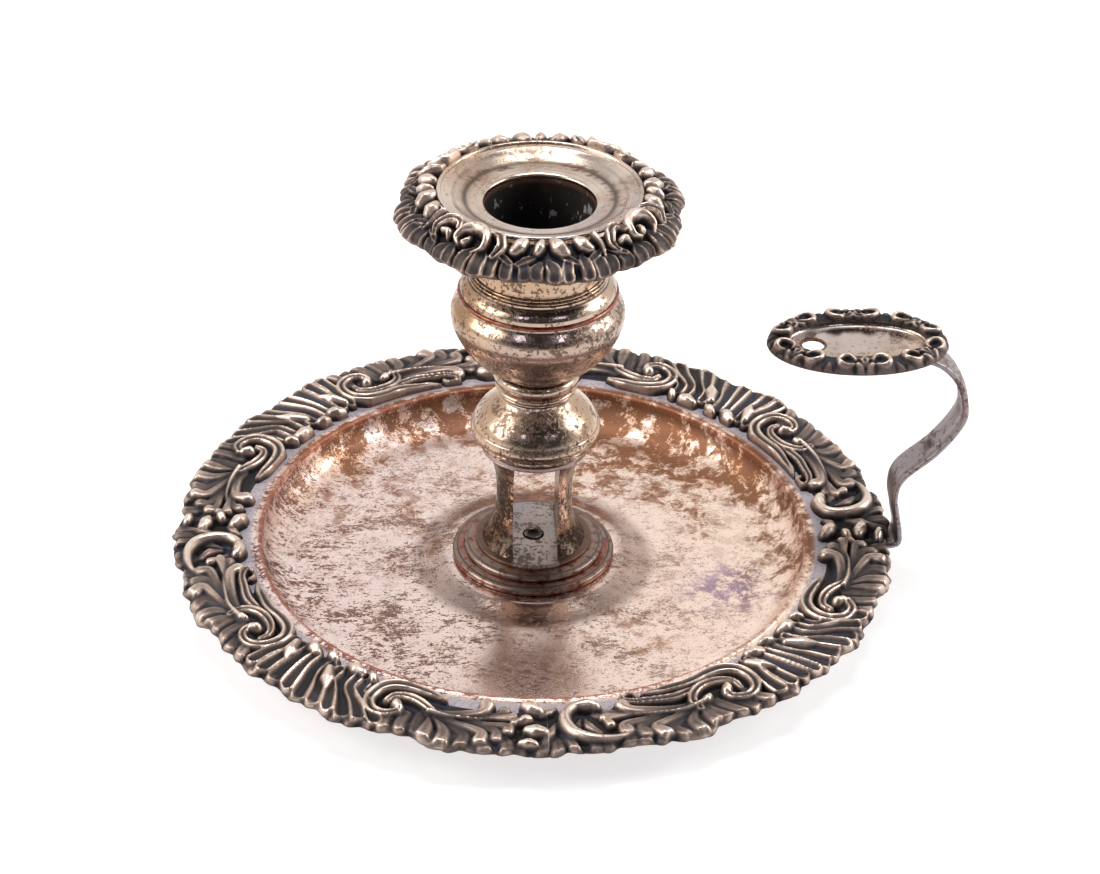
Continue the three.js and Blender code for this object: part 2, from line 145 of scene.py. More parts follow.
class Signal:
    """One output socket of a node, with arithmetic that adds Math nodes."""

    def __init__(self, owner, socket):
        self.owner = owner
        self.socket = socket

    def math(self, operation, *others, clamp=False):
        settings = {"operation": operation, "use_clamp": clamp}
        values = dict(enumerate((self, *others)))
        return self.owner.node("ShaderNodeMath", settings, values)

    def __add__(self, other):
        return self.math("ADD", other)

    def __sub__(self, other):
        return self.math("SUBTRACT", other)

    def __mul__(self, other):
        return self.math("MULTIPLY", other)

    def __pow__(self, other):
        return self.math("POWER", other)

    def __radd__(self, other):
        return self.math("ADD", other)

    def __rsub__(self, other):
        return self.owner.node("ShaderNodeMath", {"operation": "SUBTRACT"}, {0: other, 1: self})

    def __rmul__(self, other):
        return self.math("MULTIPLY", other)

    def clamped(self):
        return self.math("ADD", 0.0, clamp=True)

    def step(self, low, high, start=0.0, end=1.0):
        """start below low, end above high, and a smooth ramp between them."""
        values = {"Value": self, "From Min": low, "From Max": high, "To Min": start, "To Max": end}
        return self.owner.node("ShaderNodeMapRange", {"interpolation_type": "SMOOTHSTEP"}, values)


class Nodes:
    """A node tree with its shader, and the one method that makes any node."""

    def __init__(self, tree, shader):
        self.tree = tree
        self.shader = tree.nodes[shader]

    def node(self, kind, settings=None, values=None, out=0):
        made = self.tree.nodes.new(kind)
        for key, value in (settings or {}).items():
            setattr(made, key, value)
        for key, value in (values or {}).items():
            self.feed(made.inputs[key], value)
        return Signal(self, made.outputs[out])

    def feed(self, socket, value):
        if isinstance(value, Signal):
            self.tree.links.new(value.socket, socket)
        else:
            socket.default_value = value

    def set(self, **values):
        for key, value in values.items():
            self.feed(self.shader.inputs[key.replace("_", " ")], value)
        return self


class Finish(Nodes):
    """A material with a Principled shader, its patterns and its colour mixes."""

    def __init__(self, name):
        self.material = bpy.data.materials.new(name)
        self.material.use_nodes = True
        super().__init__(self.material.node_tree, "Principled BSDF")
        self.place = self.node("ShaderNodeTexCoord", out="Object")

    def stretched(self, scale, shift=(0, 0, 0)):
        """Object coordinates, scaled and shifted before a pattern reads them."""
        values = {"Vector": self.place, "Scale": scale, "Location": shift}
        return self.node("ShaderNodeMapping", {}, values)

    def noise(self, scale, detail=4.0, rough=0.55, warp=0.0, vector=None):
        """A cloud pattern from 0 to 1, centred on a half. Scale is in patterns per metre."""
        values = {
            "Vector": vector or self.place, "Scale": scale, "Detail": detail,
            "Roughness": rough, "Distortion": warp,
        }
        return self.node("ShaderNodeTexNoise", {}, values)

    def part(self, vector, axis):
        """One coordinate of a vector: 0, 1 or 2."""
        return self.node("ShaderNodeSeparateXYZ", {}, {0: vector}, out=axis)

    def from_axis(self):
        """Distances from the stem's axis: along x, along y, and straight out."""
        centred = self.stretched((1, 1, 1), (-AXIS_X, 0, 0))
        x, y = self.part(centred, 0), self.part(centred, 1)
        return x, y, (x * x + y * y) ** 0.5

    def attribute(self, name):
        return self.node("ShaderNodeAttribute", {"attribute_name": name}, out="Fac")

    def blend(self, base, other, share):
        """Base colour, with other laid over it where share is 1."""
        settings = {"data_type": "RGBA", "clamp_factor": True}
        return self.node("ShaderNodeMix", settings, {0: share, 6: base, 7: other}, out=2)

    def bump(self, height, distance, strength=1.0):
        values = {"Height": height, "Distance": distance, "Strength": strength}
        return self.node("ShaderNodeBump", {}, values)


# %% [markdown]
# ## Light and table
#
# Polished metal shows what is around it, so the light is the picture. The room is a pale sky that darkens
# overhead and, most of all, on the camera's own side: silver without something dark to mirror looks like
# white plaster. Soft panels at the left, at the right and above give highlights with clear edges, and two
# small cool ones sit beside the camera. The table is a lit one: it glows a little, which keeps the shadow
# under the pan faint.

# %% Table, room and lights
scene = bpy.context.scene
scene.view_settings.view_transform = "Standard"
DARK_SIDE = Vector((0.05, -0.72, 0.69)).normalized()  # direction of the dark part of the room
TABLE_HALF = 3.0  # metres from the middle of the table to its sides


def add_panel(name, place, target, size, watts, colour=(1, 1, 1)):
    data = bpy.data.lights.new(name, "AREA")
    data.shape = "RECTANGLE"
    data.size, data.size_y = size
    data.energy = watts
    data.color = colour
    panel = bpy.data.objects.new(name, data)
    bpy.context.scene.collection.objects.link(panel)
    look = (Vector(target) - Vector(place)).to_track_quat("-Z", "Y")
    panel.matrix_world = Matrix.Translation(place) @ look.to_matrix().to_4x4()


def light_room():
    world = bpy.data.worlds.new("pale_room")
    world.use_nodes = True
    room = Nodes(world.node_tree, "Background")
    place = room.node("ShaderNodeTexCoord", out="Generated")

    def along(direction):
        values = {0: place, 1: direction}
        return room.node("ShaderNodeVectorMath", {"operation": "DOT_PRODUCT"}, values, out="Value")

    front = along(DARK_SIDE).step(0.25, 0.80, 1.0, 0.06)
    above = along((0, 0, 1)).step(0.60, 0.95, 1.02, 0.35)
    room.set(Color=(1.0, 0.97, 0.94, 1), Strength=front * above)
    scene.world = world
    add_panel("left", (-0.95, -0.15, 0.75), (0, 0, 0.03), (0.75, 0.75), 9.0, (1, 0.97, 0.93))
    add_panel("right", (0.95, 0.10, 0.60), (0, 0, 0.05), (0.45, 0.70), 6.5, (1, 0.98, 0.96))
    add_panel("above", (0.0, 0.25, 1.35), (0, 0, 0.0), (0.7, 0.5), 9.0)
    for name, place in {"cool_left": (-0.35, -0.60, 0.75), "cool_right": (0.38, -0.60, 0.72)}.items():
        add_panel(name, place, (0, 0, 0.06), (0.10, 0.06), 0.35, (0.72, 0.74, 1))


def lay_table():
    bm = bmesh.new()
    bmesh.ops.create_grid(bm, x_segments=1, y_segments=1, size=TABLE_HALF)
    mesh = bpy.data.meshes.new("table")
    bm.to_mesh(mesh)
    bm.free()
    table = bpy.data.objects.new("table", mesh)
    bpy.context.scene.collection.objects.link(table)
    paper = bpy.data.materials.new("white_paper")
    paper.use_nodes = True
    Nodes(paper.node_tree, "Principled BSDF").set(
        Base_Color=(0.52, 0.51, 0.51, 1), Roughness=0.8,
        Emission_Color=(1, 0.995, 0.99, 1), Emission_Strength=0.62,
    )
    mesh.materials.append(paper)
    table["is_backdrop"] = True


light_room()
lay_table()
print("lights:", len(bpy.data.lights))

# %% [markdown]
# ## Colours of old plate
#
# Fused plate is a copper sheet under a thin skin of silver. Rubbed silver is pale with a warm cast,
# tarnish runs from gold through brown to a blue black, and where the skin has gone the copper is red
# brown. Colours are linear.

# %% Palette
PALE_SILVER = (0.80, 0.69, 0.60, 1)
WARM_SILVER = (0.62, 0.47, 0.36, 1)
LILAC_SILVER = (0.38, 0.345, 0.37, 1)
# brown tarnish, and also the painted shade round the stem on the pan and in the thumb plate's hole
BROWN_TARNISH_AND_SHADE = (0.13, 0.065, 0.040, 1)
BLACK_TARNISH = (0.012, 0.010, 0.011, 1)
BLUE_TARNISH = (0.035, 0.038, 0.065, 1)
OLD_GOLD = (0.36, 0.22, 0.125, 1)
print("silver:", PALE_SILVER[:3], "brown tarnish:", BROWN_TARNISH_AND_SHADE[:3])

# %% [markdown]
# ## Crests and hollows
#
# Hands rub the high places bright, and cloths leave the hollows dark. To know which is which, each
# finished mesh is smoothed in memory, and the distance from the smoothed surface to the real one is
# stored on every vertex: positive on a crest, negative in a hollow. The materials read it as the
# attribute `crest`.

# %% Store crests


def store_crest(mesh, radius, full, relief=None):
    """Attribute crest: 0.5 on flat ground, 1 where a crest stands full above it, 0 in a hollow.

    relief is a share from 0 to 1 per vertex, for struck work: low ground there counts as a hollow."""
    count = len(mesh.vertices)
    place = np.empty(count * 3)
    mesh.vertices.foreach_get("co", place)
    place = place.reshape(-1, 3)
    normal = np.empty(count * 3)
    mesh.vertices.foreach_get("normal", normal)
    normal = normal.reshape(-1, 3)
    ends = np.empty(len(mesh.edges) * 2, dtype=np.int64)
    mesh.edges.foreach_get("vertices", ends)
    a, b = ends.reshape(-1, 2).T
    length = np.linalg.norm(place[a] - place[b], axis=1)
    weight = 1.0 / np.maximum(length, 1e-5)
    total = np.bincount(a, weight, count) + np.bincount(b, weight, count)
    rounds = int(min(60, max(4, (radius / np.median(length)) ** 2)))
    smooth = place.copy()
    for _ in range(rounds):
        pulled = np.empty_like(smooth)
        for k in range(3):
            pulled[:, k] = (
                np.bincount(a, weight * smooth[b, k], count)
                + np.bincount(b, weight * smooth[a, k], count)
            ) / total
        smooth = 0.4 * smooth + 0.6 * pulled
    rise = ((place - smooth) * normal).sum(axis=1)
    value = np.clip(0.5 + 0.5 * rise / full, 0, 1)
    if relief is not None:
        value = 0.5 * value + 0.5 * relief
    layer = mesh.attributes.new("crest", "FLOAT", "POINT")
    layer.data.foreach_set("value", value.astype(np.float32))


# %% [markdown]
# ## From bmesh to a finished piece
#
# `settle` ends the making of every piece in the same way: doubles merged, normals turned outwards, smooth
# shading with sharp folds kept, crests stored, a material, and the piece tied to the CAD body that it
# moves with.

# %% settle


def finished_mesh(bm, name, crest, shape=None):
    bmesh.ops.remove_doubles(bm, verts=bm.verts, dist=1e-6)
    bmesh.ops.recalc_face_normals(bm, faces=bm.faces)
    mesh = bpy.data.meshes.new(name)
    bm.to_mesh(mesh)
    bm.free()
    relief = shape(mesh) if shape else None
    mesh.shade_smooth()
    mesh.set_sharp_from_angle(angle=math.radians(50))
    store_crest(mesh, *crest, relief)
    return mesh


def present(mesh, name, finish, node, body="root"):
    piece = bpy.data.objects.new(name, mesh)
    bpy.context.scene.collection.objects.link(piece)
    mesh.materials.append(finish.material)
    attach(piece, body)
    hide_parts(node)
    print(f"{name}: {len(mesh.polygons)} faces")


def settle(bm, name, finish, node, body="root", crest=(0.9 * MM, 0.04 * MM), shape=None):
    present(finished_mesh(bm, name, crest, shape), name, finish, node, body)


def settle_four(bm, stem, finish, body, crest, shape):
    """One struck length, and three copies of it turned by a quarter each."""
    length = finished_mesh(bm, stem, crest, shape)
    for k in range(4):
        turn = Matrix.Translation((AXIS_X, 0, 0)) @ Matrix.Rotation(k * math.pi / 2, 4, "Z")
        mesh = length.copy()
        mesh.transform(turn @ Matrix.Translation((-AXIS_X, 0, 0)))
        present(mesh, f"{stem}_{k + 1}_struck", finish, f"{stem}_{k + 1}", body)
    bpy.data.meshes.remove(length)


# %% [markdown]
# ## Turned work
#
# A spun or turned piece is one outline swept about the stem. `flow` draws a smooth line through a few
# chosen points, `soften` takes the sharpness off the corners of an outline as a burnisher does, and
# `turned` spins it.

# %% flow, soften and turned


def flow(points, per=6):
    """A smooth line through the points, as numpy rows (uniform Catmull-Rom)."""
    p = np.array(points, float)
    p = np.vstack([p[0], p, p[-1]])
    out = []
    for i in range(1, len(p) - 2):
        for t in np.arange(per) / per:
            out.append(0.5 * (
                2 * p[i] + (p[i + 1] - p[i - 1]) * t
                + (2 * p[i - 1] - 5 * p[i] + 4 * p[i + 1] - p[i + 2]) * t**2
                + (3 * p[i] - p[i - 1] - 3 * p[i + 1] + p[i + 2]) * t**3
            ))
    out.append(p[-2])
    return np.array(out)


def soften(outline, radius, steps=3, closed=True):
    """Rounds each corner of an outline with a short curve that starts radius before it."""
    p = [np.array(q, float) for q in outline]
    out = []
    for i, corner in enumerate(p):
        if not closed and i in (0, len(p) - 1):
            out.append(corner)
            continue
        before, after = p[i - 1], p[(i + 1) % len(p)]
        back, ahead = before - corner, after - corner
        cut = min(radius, 0.45 * np.linalg.norm(back), 0.45 * np.linalg.norm(ahead))
        start = corner + back / np.linalg.norm(back) * cut
        end = corner + ahead / np.linalg.norm(ahead) * cut
        for t in np.arange(steps + 1) / steps:
            out.append((1 - t) ** 2 * start + 2 * t * (1 - t) * corner + t**2 * end)
    return out


def turned(outline, steps=160, closed=True, angle=2 * math.pi):
    """Spins an outline of (radius, height) about the stem's axis. Not closed: it ends on the axis."""
    bm = bmesh.new()
    ring = [bm.verts.new((AXIS_X + r, 0, z)) for r, z in outline]
    pairs = list(zip(ring, ring[1:]))
    if closed:
        pairs.append((ring[-1], ring[0]))
    edges = [bm.edges.new(pair) for pair in pairs]
    whole = abs(angle - 2 * math.pi) < 1e-6
    bmesh.ops.spin(
        bm, geom=ring + edges, cent=(AXIS_X, 0, 0), axis=(0, 0, 1),
        angle=angle, steps=steps, use_merge=whole,
    )
    return bm


def bead(radius, low, high, steps=8):
    """Points of a half-round edge from its low corner to its high corner."""
    half = (high - low) / 2
    turns = np.linspace(-math.pi / 2, math.pi / 2, steps + 1)
    return [(radius - half + half * math.cos(a), low + half + half * math.sin(a)) for a in turns]


JOINT = 0.3 * MM  # gap that the CAD leaves between soldered pieces

# %% [markdown]
# ## Finishes of the smooth pieces
#
# The stem and the socket are rubbed plate: pale on the curves, brown and black in the turned grooves,
# with ragged stains and golden clouds. The older it looks, the more of both. The foot rings and the seam
# have been rubbed through to copper on their edges.

# %% Polished plate
STAIN_BROWN = (0.10, 0.058, 0.038, 1)
STAIN_DARK = (0.032, 0.021, 0.016, 1)


def plate_finish(name, age=0.0, dull=0.0, seed=0.0, streaks=None, mark=None, lane=None):
    """Rubbed plate. age adds brown stain and dull greys it.

    streaks, as two radii, stains a ring at the back of the dish. mark, as x, y and a radius, paints shade
    on a hole: its wall and a thin ring round its edge turn brown.
    lane, as a half width, keeps only the slot's floor clean."""
    f = Finish(name)
    spot = f.stretched((1, 1, 1), (seed, seed * 0.7, -seed))
    crest = f.attribute("crest")
    hollow = (1 - crest).step(0.53, 0.80)
    cloud = f.noise(60, 5, 0.6, 0.4, spot)
    fleck = f.noise(480, 8, 0.72, 0.2, spot)
    pit = f.noise(1300, 5, 0.65, 0.0, spot)
    wide = f.noise(24, 3, 0.5, 0.2, spot)
    turned_lines = f.noise(190, 4, 0.6, 0.3, f.stretched((0.16, 0.16, 1), (seed, 0, -seed)))
    old = min(age, 1.0)
    ragged = cloud * (1 - 0.55 * old) + turned_lines * (0.55 * old) + (fleck - 0.5) * 0.9 + (pit - 0.5) * 0.8
    gold = (wide.step(0.46, 0.66) * (0.15 + 0.5 * old) + old * 0.38).clamped() * (1 - 0.9 * dull)
    stain = ragged.step(0.60 - 0.07 * old, 0.65 - 0.06 * old)
    speckle = pit.step(0.60 - 0.03 * old, 0.66) * cloud.step(0.38, 0.55) * 0.8
    grime = (hollow + stain * (0.55 + 0.30 * old) + speckle + dull * 0.35).clamped()
    colour = f.blend(PALE_SILVER, WARM_SILVER, (cloud.step(0.38, 0.62) + old * 0.5).clamped())
    colour = f.blend(colour, LILAC_SILVER, (wide.step(0.52, 0.38) * 0.5 + dull).clamped())
    colour = f.blend(colour, OLD_GOLD, gold)
    colour = f.blend(colour, STAIN_BROWN, grime * (0.60 + 0.32 * old))
    if age > 1:
        shade = ragged.step(0.40, 0.56) * 0.45 + 0.52
        colour = f.blend(colour, STAIN_DARK, shade * (age - 1))
    colour = f.blend(colour, BLACK_TARNISH, hollow.step(0.35, 0.95) * 0.95)
    if lane:
        aside = f.part(f.place, 0) - AXIS_X
        beside = (aside * aside).step(lane * lane, 1.2 * lane * lane)
        colour = f.blend(colour, BROWN_TARNISH_AND_SHADE, beside * 0.9)
    if streaks:
        x, y, radius = f.from_axis()
        inner, outer = streaks
        band = radius.step(inner, inner + 0.8 * MM) * (1 - radius.step(outer - 1.0 * MM, outer))
        band = band * (y + x * 0.3).step(-4 * MM, 8 * MM)
        brush = f.noise(330, 7, 0.72, 0.1, f.stretched((1, 3.5, 1)))
        colour = f.blend(colour, BROWN_TARNISH_AND_SHADE, band * brush.step(0.50, 0.56) * 0.9)
    # painted shade in the hole: its wall and a thin ring round its edge turn brown
    if mark:
        away_x = f.part(f.place, 0) - mark[0]
        away_y = f.part(f.place, 1) - mark[1]
        away = (away_x * away_x + away_y * away_y) ** 0.5
        colour = f.blend(colour, BROWN_TARNISH_AND_SHADE, 1 - away.step(mark[2] + 0.2 * MM, mark[2] + 0.8 * MM))
    bump = f.bump(fleck * 0.6 + pit * 0.25 - grime * 0.3, 0.12 * MM, 0.45)
    return f.set(
        Base_Color=colour, Metallic=1 - grime * 0.15,
        Roughness=(0.11 + 0.02 * age + dull * 0.15 + cloud * 0.10 + grime * 0.22).clamped(), Normal=bump,
    )


RING_BROWN = (0.085, 0.055, 0.045, 1)
RING_SILVER = (0.25, 0.19, 0.165, 1)
BARE_COPPER = (0.28, 0.068, 0.034, 1)
RING_FLECK = (0.06, 0.035, 0.028, 1)


def copper_finish(name):
    """Edges rubbed through: silver on the faces, red copper on the very crests, and brown between them."""
    f = Finish(name)
    crest = f.attribute("crest")
    fleck = f.noise(520, 8, 0.72, 0.2)
    cloud = f.noise(90, 4, 0.6, 0.4)
    hollow = (1 - crest).step(0.51, 0.66)
    ragged = crest + (fleck - 0.5) * 0.45 + (cloud - 0.5) * 0.25
    colour = f.blend(RING_BROWN, RING_SILVER, ragged.step(0.46, 0.64))
    colour = f.blend(colour, BARE_COPPER, ragged.step(0.70, 0.82) * 0.9)
    colour = f.blend(colour, RING_FLECK, fleck.step(0.52, 0.58) * 0.6)
    colour = f.blend(colour, BLACK_TARNISH, hollow * 0.95)
    return f.set(
        Base_Color=colour, Metallic=1 - hollow * 0.4,
        Roughness=(0.24 + fleck * 0.18 + hollow * 0.2).clamped(), Normal=f.bump(fleck, 0.12 * MM, 0.45),
    )


polished = plate_finish("rubbed_plate", age=1.0)
coppered = copper_finish("copper_edges")
dark_plate = plate_finish("stained_plate", age=2.0, seed=0.44)
dull_plate = plate_finish("dull_plate", dull=0.75, seed=0.17)

# %% [markdown]
# ## The stem and its foot
#
# Two rings carry the stem on the pan. Each is a turned moulding with a round edge. They are closed shapes
# spun from the outline that a turner would cut, and each reaches down to touch the piece below it.

# %% Foot rings and slot floor


def add_ring(node, finish, bore=2.2 * MM, edge_steps=10, cove=0.0):
    """A flat ring with a half-round edge, and a cove cut into its top where cove is given."""
    radius, low, high = reach(node)
    low -= JOINT
    outline = [(bore, low), *bead(radius, low, high, edge_steps)]
    if cove:
        outline.append((radius - 2.2 * cove, high))
        outline.append((radius - 2.6 * cove, high + 0.25 * cove))
    outline.append((bore, outline[-1][1]))
    settle(turned(outline, 192), node + "_spun", finish, node, crest=(0.7 * MM, 0.16 * MM))


add_ring("foot_base_ring", coppered, cove=0.5 * MM)
add_ring("foot_upper_ring", coppered, cove=0.4 * MM)

slot_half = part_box("slot_lining_right")[0].x - AXIS_X
floor_plate = plate_finish("floor_plate", age=0.6, dull=0.75, seed=0.17, lane=slot_half)
floor_radius, floor_low, floor_high = reach("slot_floor")
settle(turned(soften([
    (2.2 * MM, floor_low - JOINT), (floor_radius, floor_low - JOINT),
    (floor_radius, floor_high - 0.15 * MM), (floor_radius - 0.5 * MM, floor_high),
    (2.2 * MM, floor_high),
], 0.2 * MM), 160), "slot_floor_spun", floor_plate, "slot_floor")

rivet_radius, rivet_low, rivet_high = reach("stem_rivet")
shank = rivet_radius / 1.8
head = 0.5 * MM
lip = [(shank * (1.0 + 0.22 * math.cos(a)), rivet_high - head + 0.30 * head * math.sin(a))
       for a in np.linspace(-0.5, math.pi * 0.8, 8)]
settle(turned([
    (0, rivet_low), (rivet_radius, rivet_low), (rivet_radius, rivet_low + head),
    (shank, rivet_low + head), (shank, rivet_high - 1.3 * head), *lip,
    (shank * 0.62, rivet_high - 1.15 * head), (shank * 0.3, rivet_high - 1.5 * head),
    (0, rivet_high - 1.6 * head),
], 48, closed=False), "stem_rivet_forged", dark_plate, "stem_rivet",
    crest=(0.9 * MM, 0.03 * MM))

# %% [markdown]
# The column is a waisted tube that the slot splits into two cheeks. Spinning the whole tube and cutting
# it with a plane keeps both cheeks on one true curve, as they are when the tube is raised first and sawn
# afterwards. A flat strip lines each side of the slot.

# %% Cheeks and linings
cheek_low, cheek_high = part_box("stem_cheek_right")
lining_low, lining_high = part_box("slot_lining_right")
STEM_LOW, STEM_HIGH = cheek_low.z - JOINT, cheek_high.z + JOINT
STEM_END = math.hypot(lining_high.y, lining_low.x - AXIS_X)
STEM_WAIST = STEM_END - 2.9 * MM
SHELL = 0.8 * MM


def stem_line(count=28, inset=0.0):
    """Radius and height up the waisted column."""
    return [
        (STEM_WAIST + (STEM_END - STEM_WAIST) * abs(t) ** 2.6 - inset,
         STEM_LOW + (STEM_HIGH - STEM_LOW) * (t + 1) / 2)
        for t in np.linspace(-1, 1, count)
    ]


def keep_side(bm, x, above):
    """Cuts a closed bmesh with the plane at x, keeps one side, and closes the cut."""
    cut = bmesh.ops.bisect_plane(
        bm, geom=bm.verts[:] + bm.edges[:] + bm.faces[:], dist=1e-7,
        plane_co=(x, 0, 0), plane_no=(1, 0, 0), clear_inner=above, clear_outer=not above,
    )
    rims = [e for e in cut["geom_cut"] if isinstance(e, bmesh.types.BMEdge)]
    bmesh.ops.holes_fill(bm, edges=rims, sides=0)


def add_cheek(side, sign):
    bm = turned([*stem_line(), *reversed(stem_line(inset=SHELL))], 160)
    bmesh.ops.remove_doubles(bm, verts=bm.verts, dist=1e-6)
    edge = lining_low.x - AXIS_X
    keep_side(bm, AXIS_X + sign * (edge + 0.75 * MM), sign > 0)
    settle(bm, f"stem_cheek_{side}_sheet", dark_plate, f"stem_cheek_{side}")
    strip = turned([(0, STEM_LOW), *stem_line(inset=-0.12 * MM), (0, STEM_HIGH)], 160, closed=False)
    bmesh.ops.remove_doubles(strip, verts=strip.verts, dist=1e-6)
    keep_side(strip, AXIS_X + sign * edge, sign > 0)
    keep_side(strip, AXIS_X + sign * (edge + 0.7 * MM), sign < 0)
    settle(strip, f"slot_lining_{side}_strip", dark_plate, f"slot_lining_{side}")


add_cheek("left", -1)
add_cheek("right", 1)

# %% [markdown]
# ## Knop, neck and collar
#
# Above the slot the column closes with a plate, a round lower ring, a domed knop and a stack of small
# rings. Their outlines follow the CAD boxes, with more points where the light runs along them.

# %% Ceiling, knop and collar


def spin_plate(node, outline, steps=192, closed=True, made="spun"):
    """A polished piece of the stem, spun from its outline."""
    settle(turned(outline, steps, closed), f"{node}_{made}", polished, node)


ceiling_radius, ceiling_low, ceiling_high = reach("slot_ceiling")
settle(turned(soften([
    (0, ceiling_low - JOINT), (ceiling_radius, ceiling_low - JOINT),
    (ceiling_radius, ceiling_high), (0, ceiling_high),
], 0.2 * MM, closed=False), 128, closed=False), "slot_ceiling_spun", dull_plate, "slot_ceiling")

ring_radius, ring_low, ring_high = reach("knop_lower_ring")
spin_plate("knop_lower_ring", [
    (5.5 * MM, ring_low - JOINT), (ceiling_radius - 0.4 * MM, ring_low - JOINT),
    *bead(ring_radius, ring_low, ring_high - 0.1 * MM, 12),
    (ring_radius - 0.8 * MM, ring_high + JOINT), (5.5 * MM, ring_high + JOINT),
])

knop_radius, knop_low, knop_high = reach("knop_dome")
NECK = reach("neck_collar")[0] - 1.0 * MM
knop_rise = knop_high - knop_low
knop_line = flow([
    (knop_radius - 0.9 * MM, knop_low), (knop_radius - 0.35 * MM, knop_low + 0.05 * knop_rise),
    (knop_radius - 0.02 * MM, knop_low + 0.13 * knop_rise), (knop_radius, knop_low + 0.17 * knop_rise),
    (knop_radius - 0.30 * MM, knop_low + 0.27 * knop_rise),
    (knop_radius - 0.55 * MM, knop_low + 0.31 * knop_rise),
    (knop_radius - 1.0 * MM, knop_low + 0.44 * knop_rise),
    (knop_radius - 2.1 * MM, knop_low + 0.62 * knop_rise),
    (knop_radius - 3.9 * MM, knop_low + 0.80 * knop_rise),
    (NECK + 0.7 * MM, knop_low + 0.92 * knop_rise), (NECK, knop_high),
], 8)
spin_plate("knop_dome", [
    (5.5 * MM, knop_low), *knop_line, (NECK, knop_high + JOINT), (5.5 * MM, knop_high + JOINT),
])

neck_radius, neck_low, neck_high = reach("neck_collar")
neck_rise = neck_high - neck_low
spin_plate("neck_collar", [
    (5.0 * MM, neck_low), (NECK, neck_low), (NECK - 0.05 * MM, neck_low + 0.2 * neck_rise),
    *bead(NECK + 0.55 * MM, neck_low + 0.30 * neck_rise, neck_low + 0.55 * neck_rise, 6),
    *bead(neck_radius, neck_low + 0.62 * neck_rise, neck_low + 0.95 * neck_rise, 6),
    (NECK + 0.2 * MM, neck_high + JOINT), (5.0 * MM, neck_high + JOINT),
], 160)

collar_radius, collar_low, collar_high = reach("collar_ring")
spin_plate("collar_ring", [
    (5.0 * MM, collar_low), (collar_radius - 1.3 * MM, collar_low),
    *bead(collar_radius, collar_low + 0.15 * MM, collar_high - 0.1 * MM, 16),
    (collar_radius - 1.5 * MM, collar_high + JOINT), (5.0 * MM, collar_high + JOINT),
], 160)

# %% [markdown]
# ## The socket
#
# The vase-shaped socket is two spun shells that meet at a wire, worn to copper. Above it a shoulder and a
# bead close on the candle tube, which stands up as the neck.

# %% Bowl, seam, shoulder, bead and tube
bowl_radius, bowl_low, bowl_high = reach("socket_bowl")
bowl_rise = bowl_high - bowl_low
seam_radius, seam_low, seam_high = reach("socket_seam_wire")
BOWL_FOOT = 8.1 * MM
bowl_line = flow([
    (BOWL_FOOT, bowl_low), (BOWL_FOOT + 0.5 * MM, bowl_low + 0.05 * bowl_rise),
    (bowl_radius - 6.6 * MM, bowl_low + 0.13 * bowl_rise),
    (bowl_radius - 3.9 * MM, bowl_low + 0.27 * bowl_rise),
    (bowl_radius - 1.8 * MM, bowl_low + 0.45 * bowl_rise),
    (bowl_radius - 0.45 * MM, bowl_low + 0.62 * bowl_rise),
    (bowl_radius, bowl_low + 0.76 * bowl_rise),
    (bowl_radius - 0.35 * MM, bowl_low + 0.87 * bowl_rise),
    (seam_radius - 0.25 * MM, bowl_low + 0.97 * bowl_rise), (seam_radius - 0.5 * MM, bowl_high),
], 7)
spin_plate("socket_bowl", [
    (5.0 * MM, bowl_low), *bowl_line, (seam_radius - 0.5 * MM, bowl_high + JOINT),
    (seam_radius - 2 * MM, bowl_high + JOINT), (bowl_radius - 5 * MM, bowl_low + 0.4 * bowl_rise),
    (5.0 * MM, bowl_low + 0.2 * bowl_rise),
])
settle(turned([
    (seam_radius - 2 * MM, seam_low), *bead(seam_radius, seam_low, seam_high, 10),
    (seam_radius - 2 * MM, seam_high),
], 192), "socket_seam_wire_drawn", coppered, "socket_seam_wire", crest=(0.7 * MM, 0.08 * MM))

shoulder_radius, shoulder_low, shoulder_high = reach("socket_shoulder")
shoulder_rise = shoulder_high - shoulder_low
bead_radius, bead_low, bead_high = reach("shoulder_bead")
tube_radius = reach("candle_tube")[0]
shoulder_line = flow([
    (shoulder_radius - 0.05 * MM, shoulder_low - JOINT),
    (shoulder_radius - 0.15 * MM, shoulder_low + 0.2 * shoulder_rise),
    (shoulder_radius - 0.75 * MM, shoulder_low + 0.5 * shoulder_rise),
    (bead_radius + 0.25 * MM, shoulder_low + 0.8 * shoulder_rise),
    (bead_radius + 0.05 * MM, shoulder_high),
], 6)
spin_plate("socket_shoulder", [
    *shoulder_line, (tube_radius, shoulder_high + JOINT), (tube_radius, shoulder_high - SHELL),
    (shoulder_radius - 1.2 * MM, shoulder_low - JOINT),
])
bead_mid = (bead_low + bead_high) / 2
spin_plate("shoulder_bead", [
    (tube_radius - 0.1 * MM, bead_low), *bead(bead_radius, bead_low - 0.1 * MM, bead_mid, 6),
    *bead(bead_radius - 0.35 * MM, bead_mid, bead_high + 0.1 * MM, 6),
    (tube_radius - 0.1 * MM, bead_high + 0.2 * MM),
], 160, made="wire")

_, tube_bottom, tube_top = reach("candle_tube")
tube_inner = tube_radius - 0.9 * MM
spin_plate("candle_tube", [
    (0, tube_bottom), (tube_radius, tube_bottom), (tube_radius, bead_high),
    *flow([(tube_radius + 0.15 * MM, bead_high + 0.3 * MM), (tube_radius, bead_high + 1.2 * MM),
           (tube_radius - 0.05 * MM, bead_high + 4 * MM), (tube_radius + 0.1 * MM, tube_top - 2 * MM)], 5),
    (tube_radius + 0.3 * MM, tube_top), (tube_inner, tube_top), (tube_inner, tube_bottom + 0.9 * MM),
    (0, tube_bottom + 0.9 * MM),
], closed=False, made="drawn")

